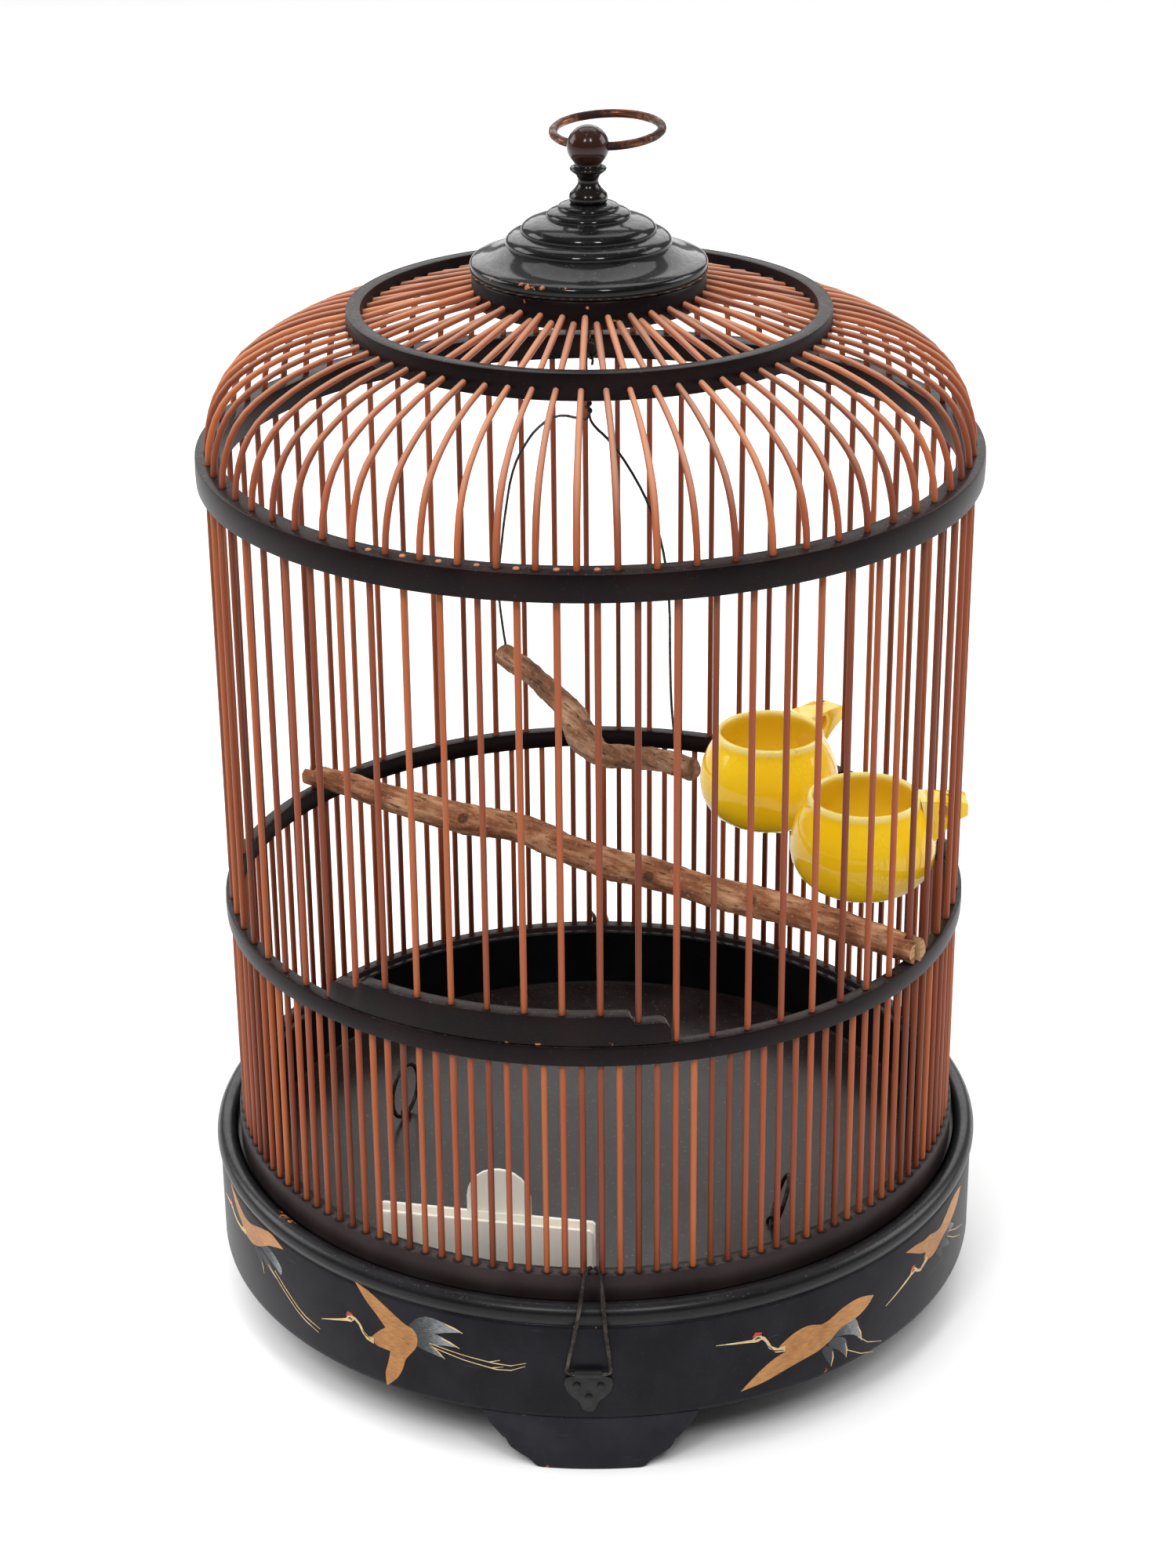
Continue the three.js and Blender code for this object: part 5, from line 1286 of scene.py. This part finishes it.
tab = draw("thumb_tab", [(x, BACK_Y, z) for x, z in tab_outline])
fill_and_push(0, BLADE_THICK, 0)
bpy.ops.mesh.select_all(action="DESELECT")
bpy.ops.object.mode_set(mode="OBJECT")
for face in tab.data.polygons:
    face.select = face.normal.y ** 2 > 0.9 and face.center.y < (BACK_Y + BLADE_THICK / 2) * MM
bpy.ops.object.mode_set(mode="EDIT")
bpy.ops.mesh.select_mode(type="FACE")
bpy.ops.mesh.inset(thickness=2.2 * MM)
bpy.ops.transform.translate(value=(0, 0.9 * MM, 0))
bpy.ops.mesh.select_mode(type="VERT")
tidy_mesh()
ease_edges(tab, 0.25)
back_jaw = join("clip_back", [back_blade, back_lip, tab, *lug_pair("back_lug", 9.7, 0.6, 3.4)])
smooth(back_jaw)
move(back_jaw, clip_place)
dress(back_jaw, PLASTIC, "root", ["clip_jaw_back"])
tell(front_jaw, back_jaw)
for name in ("clip_pin", "clip_spring"):
    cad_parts[name].data.materials.clear()
    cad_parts[name].data.materials.append(IRON)

# %% [markdown]
# ## Painted cranes
# Cranes in gold fly round the drum, with silver-grey tails and red crowns. The paint stands a
# little proud of the lacquer, so each stroke is a thin plate bent round the drum, from an outline
# in millimetres round the bird's breast. A plate remembers where its points were in the flat
# drawing, so the brush marks run along the feathers.

# %% Paints
def paint(name, dark, mid, bright, rough=0.42, metallic=0.25, across=1500, fade=0.1):
    """across is how fine the brush marks are, and fade how much paler the paint is far from the breast."""
    finish = Finish(name)
    drawn = finish.carried("drawn")
    strokes = finish.noise(finish.stretched(drawn, across / 6, 1, across), 1.0, 4, 0.6)
    cloud = finish.noise(drawn, 90, 3)
    far = finish.part(drawn, "X").math("ABSOLUTE", finish.part(drawn, "X")).between(0.008, 0.03)
    shade = strokes * 0.55 + cloud * (0.45 - fade) + far * fade
    colour = finish.ramp(shade, (0.3, rgb(dark)), (0.47, rgb(mid)), (0.7, rgb(bright)))
    normal = finish.bump(strokes, 0.2, 0.1)
    return finish.set(Base_Color=colour, Metallic=metallic, Roughness=rough + strokes * 0.15, Normal=normal)


GOLD = paint("gold_paint", "7d5129", "a8733b", "c4925a")
PALE_GOLD = paint("pale_gold_paint", "9c7c4c", "c3a674", "e4cf9f")
SILVER = paint(
    "silver_grey_paint", "131417", "37393c", "8d8f90", rough=0.5, metallic=0.1, across=2600, fade=0.3,
)
RED = paint("red_paint", "6e1a17", "a32a22", "c24536", rough=0.5, metallic=0)
INK = paint("ink_paint", "08080a", "100f12", "1a191d", rough=0.45, metallic=0)
print("materials in all, with those of the frame:", len(bpy.data.materials))

# %% Strokes and rounded outlines
def stroke(points, widths):
    """The outline of a brush stroke that swells and thins along its run."""
    left, right = [], []
    for i, (x, z) in enumerate(points):
        x0, z0 = points[max(i - 1, 0)]
        x1, z1 = points[min(i + 1, len(points) - 1)]
        run = math.hypot(x1 - x0, z1 - z0)
        across = (-(z1 - z0) / run * widths[i] / 2, (x1 - x0) / run * widths[i] / 2)
        left.append((x + across[0], z + across[1]))
        right.append((x - across[0], z - across[1]))
    return left + right[::-1]


def rounded(points, steps=3):
    """A smooth closed outline through the points. A corner sharper than a right angle stays sharp."""
    count = len(points)
    places = [Vector(point) for point in points]
    slopes = []
    for i in range(count):
        before, after = places[i] - places[i - 1], places[(i + 1) % count] - places[i]
        open_corner = max(0, before.normalized().dot(after.normalized()))
        slopes.append((before + after) / 2 * min(1, 2 * open_corner))
    outline = []
    for i in range(count):
        a, b = places[i], places[(i + 1) % count]
        for k in range(steps):
            t = k / steps
            lift = t * t * (3 - 2 * t)
            leaving = slopes[i] * (t * (1 - t) ** 2)
            arriving = slopes[(i + 1) % count] * (t * t * (1 - t))
            outline.append(tuple(a.lerp(b, lift) + leaving - arriving))
    return outline


# %% Four birds in flight
RISING = {
    "gold": [rounded([
        (-9, 0.4), (-5.6, 4.4), (-1.6, 7.8), (-6, 12.8), (-11.4, 18), (-16.6, 24.8), (-9.2, 22.4),
        (-2.4, 18.8), (3.6, 15), (8, 12.4), (11.6, 11.2), (13.6, 7.6), (12.8, 2.6), (10, -1.4), (7.6, -5),
        (6, -10.2), (3, -15.6), (-2, -20.6), (-2.4, -14.6), (-0.8, -8.6), (0.4, -3), (-3, -2.8),
        (-6.6, -2.4),
    ])],
    "pale": [
        stroke(
            [(-7.8, -0.8), (-11, -0.6), (-13.4, 1.6), (-15, 4.6), (-17.2, 6.2), (-19.6, 6.4)],
            [3, 1.9, 1.3, 1.1, 1.3, 1.8],
        ),
        stroke([(-18.4, 6.2), (-20.2, 5.2), (-22, 4.2)], [1.8, 3, 1.6]),
        stroke([(-21.6, 4.2), (-28, 1.6), (-37, -2)], [1.3, 0.8, 0.2]),
        stroke([(19, 6.6), (34, 4.4), (47, 3), (54, 2.8), (60.4, 4.8)], [0.38, 0.3, 0.44, 0.3, 0.15]),
        stroke([(20, 5.2), (34, 2.2), (48, 0.2), (54, 0.6), (60, 3.2)], [0.38, 0.3, 0.44, 0.3, 0.15]),
        stroke([(45, 3.3), (49.6, 4.8)], [0.34, 0.15]),
        stroke([(46, 0.6), (51, 1.9)], [0.34, 0.15]),
        stroke([(26.6, 17.5), (30.4, 16.4), (34, 14.8)], [0.5, 0.7, 0.2]),
        stroke([(24.6, 10.4), (28.6, 9), (32.4, 7.2)], [0.5, 0.7, 0.2]),
        stroke([(21, 4.8), (23.4, 3), (25.8, 0.6)], [0.4, 0.6, 0.2]),
    ],
    "silver": [
        rounded([
            (9.6, 12), (13, 16.4), (17.6, 18.9), (22.4, 18.8), (27.6, 17.4), (33.4, 15), (27, 13.6),
            (21.5, 11.8), (15.6, 10.2), (11.6, 9.6),
        ]),
        rounded([(12, 10), (18, 11.8), (24.4, 11), (31.8, 7.6), (25.4, 7), (19.4, 6), (13, 6)]),
        rounded([(12.6, 6.4), (18, 6.4), (22, 4.6), (25.4, 0.9), (20, 1.8), (15.6, 2.8), (12.6, 3.8)]),
    ],
    "red": [stroke([(-22, 6), (-20.8, 7.6), (-18.6, 7.8)], [0.6, 1.9, 0.7])],
    "ink": [
        stroke([(-21, 5.2), (-20, 5.6), (-18.8, 5)], [0.5, 1, 0.5]),
        stroke([(-13.6, 2.4), (-12, 0.6), (-9.6, -0.4)], [0.3, 0.6, 0.3]),
    ],
}
GLIDING = {
    "gold": [rounded([
        (-13.6, 1), (-9.4, 4), (-4, 6.2), (1.4, 6.4), (6.6, 4.8), (11.4, 5.6), (17, 8), (23.6, 9.3),
        (30, 8.8), (36, 6.8), (32.8, 3.6), (27.6, 0.8), (21, -0.4), (16.2, -1.6), (12, -4.8), (6.4, -7.4),
        (0, -8.8), (-7, -10.2), (-14, -12.2), (-21, -14.2), (-31, -16), (-26.4, -11.6), (-21, -7.2),
        (-15.6, -4), (-10.6, -2.4), (-13, -1),
    ])],
    "pale": [
        stroke(
            [(-11, -0.8), (-15, -0.4), (-18, 2), (-19.4, 5), (-21, 7.2), (-23, 8)],
            [2.8, 1.9, 1.4, 1.2, 1.4, 1.8],
        ),
        stroke([(-22, 8), (-24, 7.8), (-26, 7.2)], [1.8, 3, 1.5]),
        stroke([(-25.6, 7.2), (-33, 8), (-42, 8.8)], [1.3, 0.8, 0.2]),
        stroke([(27.4, -9.8), (33, -15), (42, -18.8)], [0.36, 0.34, 0.15]),
        stroke([(20.2, -13), (29, -18.8), (37, -21.8)], [0.36, 0.34, 0.15]),
        stroke([(26.8, -4.4), (28.6, -8), (29.4, -12.4)], [0.4, 0.7, 0.2]),
        stroke([(20, -9.8), (20.9, -13), (20.6, -17)], [0.4, 0.7, 0.2]),
        stroke([(13, -11), (13.4, -14), (12.4, -18)], [0.4, 0.7, 0.2]),
    ],
    "silver": [
        rounded([
            (13, -1.4), (16.4, 2.4), (22, 2.4), (26.6, -2), (29, -12), (25.4, -8.2), (21, -6), (16.6, -4.8),
            (12.8, -4),
        ]),
        rounded([
            (11.8, -4.4), (17, -5.4), (20.6, -9), (20.4, -16.4), (17, -12.4), (13.8, -9.8), (10.6, -7),
        ]),
        rounded([(9, -6.8), (12.4, -8.8), (13.8, -12.4), (12.2, -17.4), (9.4, -13), (7.4, -8.6)]),
    ],
    "red": [stroke([(-26, 8.8), (-24.6, 10.2), (-22, 10)], [0.6, 1.9, 0.7])],
    "ink": [
        stroke([(-25, 7.6), (-23.8, 8.3), (-22.6, 7.8)], [0.5, 1, 0.5]),
        stroke([(-19, 3), (-16.4, -0.2), (-11.6, -1.4)], [0.3, 0.6, 0.3]),
    ],
}
DIVING = {
    "gold": [rounded([
        (-6.6, -4), (-5.2, -1.6), (-10, 0.2), (-15.4, 3.2), (-22, 6.8), (-14.6, 6.6), (-7.4, 5.2),
        (-1.4, 5), (4, 3.4), (9, 3.2), (14.6, 5.6), (21.4, 8.6), (29, 9.6), (37, 8), (32.2, 3.4),
        (25.6, 0.2), (18.6, -2.2), (13, -3.2), (8.6, -5), (3.6, -6.8), (-2, -6.6),
    ])],
    "pale": [
        stroke(
            [(-3.6, -5.2), (-6.6, -6.8), (-9.6, -8.2), (-12.4, -6.8), (-14.6, -5)],
            [2.6, 1.6, 1.2, 1.3, 1.7],
        ),
        stroke([(-14, -5), (-15.8, -5.4), (-17.4, -6.4)], [1.7, 2.8, 1.3]),
        stroke([(-17, -6.4), (-25, -9.4), (-35, -13)], [1.2, 0.8, 0.2]),
        stroke([(20, -5.2), (30, -10), (44, -16)], [0.36, 0.34, 0.15]),
        stroke([(18, -6.6), (27, -12.4), (40, -19)], [0.36, 0.34, 0.15]),
    ],
    "silver": [
        rounded([(9, -2.6), (15, -0.4), (21, -1.6), (27.4, -5.8), (20, -6), (13, -5.6)]),
        rounded([(8.6, -5), (13.6, -5.6), (18, -7.8), (21.6, -12.6), (15.6, -10.6), (10, -8)]),
        rounded([(6.4, -6), (10, -7.6), (12.2, -10), (12.6, -14), (8.4, -11), (5.4, -8)]),
    ],
    "red": [stroke([(-17.6, -4.6), (-16.2, -3.4), (-14, -3.4)], [0.5, 1.7, 0.6])],
    "ink": [stroke([(-16.6, -5.6), (-15.6, -5), (-14.6, -5.2)], [0.4, 0.9, 0.4])],
}
SOARING = {
    "gold": [rounded([
        (-9, -1.6), (-11.4, 1), (-17, 3.6), (-22.4, 7.8), (-27.8, 12.8), (-20, 10.8), (-13, 8.4),
        (-6.6, 6.6), (-0.8, 6.8), (5.4, 8.8), (12, 11), (20, 12.3), (29, 9.6), (22.4, 7.4), (16.4, 5),
        (11, 1.8), (5.6, -1), (-1, -2.6),
    ])],
    "pale": [
        stroke([(-7, -1), (-13, -2.2), (-19, -2.2), (-24, -0.8), (-26.4, 0.6)], [2.6, 1.6, 1.2, 1.3, 1.7]),
        stroke([(-25.6, 0.4), (-27.4, 0.8), (-29, 0.6)], [1.7, 2.7, 1.3]),
        stroke([(-28.8, 0.6), (-34, 0), (-41, -1.2)], [1.2, 0.8, 0.2]),
        stroke([(19, -6.4), (37, -16.6), (42, -18.6), (51, -20.8)], [0.36, 0.32, 0.44, 0.15]),
        stroke([(21, -5), (38, -14.8), (43, -16.8), (52, -18.6)], [0.36, 0.32, 0.44, 0.15]),
        stroke([(15.6, -5), (18.6, -6.6), (21.8, -8.4)], [0.4, 0.7, 0.2]),
        stroke([(9.6, -6.6), (10.4, -8.8), (11, -11.6)], [0.4, 0.7, 0.2]),
    ],
    "silver": [
        rounded([(9, 1), (14, 3.8), (20, 3.4), (26.6, -0.8), (26, -4.6), (19, -2.2), (12.4, -0.8)]),
        rounded([(6.6, -0.6), (12.6, -1.6), (17.6, -4), (21.6, -8.2), (14.6, -6.4), (9, -3.8)]),
        rounded([(4, -1.4), (8, -2.8), (10.6, -6), (11, -11.2), (7, -7), (3, -3.6)]),
    ],
    "red": [stroke([(-29, 1.8), (-27.6, 2.9), (-25.6, 2.6)], [0.5, 1.7, 0.6])],
    "ink": [stroke([(-28.2, 0.9), (-27.2, 1.3), (-26.2, 0.9)], [0.4, 0.9, 0.4])],
}
PAINTS = {"gold": GOLD, "pale": PALE_GOLD, "silver": SILVER, "red": RED, "ink": INK}
PAINT_THICK = 0.4
# how far, in millimetres, each colour stands out of the drum
LAYERS = {"silver": 0.06, "gold": 0.1, "pale": 0.13, "red": 0.16, "ink": 0.18}
FLOCK = {
    "left": (RISING, -30.6, 45.6), "right": (GLIDING, 31.1, 46.2), "far_right": (DIVING, 58.3, 56.6),
    "far_left": (SOARING, -61.6, 56.4), "back_right": (SOARING, 100, 55), "back_left": (DIVING, -103, 56),
    "rear_right": (RISING, 146, 45.6), "rear_left": (GLIDING, -150, 46.2),
}
for name, (bird, az, height) in FLOCK.items():
    for colour, outlines in bird.items():
        strokes = []
        for i, outline in enumerate(outlines):
            piece = flat(f"{name}_{colour}_{i}", [(x, z + height) for x, z in outline], PAINT_THICK)
            drawn = piece.data.attributes.new("drawn", "FLOAT_VECTOR", "POINT")
            for vertex, value in zip(piece.data.vertices, drawn.data):
                value.vector = vertex.co
            strokes.append(wrap(piece, DRUM_R + LAYERS[colour], az, every=7))
        painted = join(f"crane_{name}_{colour}", strokes)
        dress(painted, PAINTS[colour])
print("cranes:", len(FLOCK))
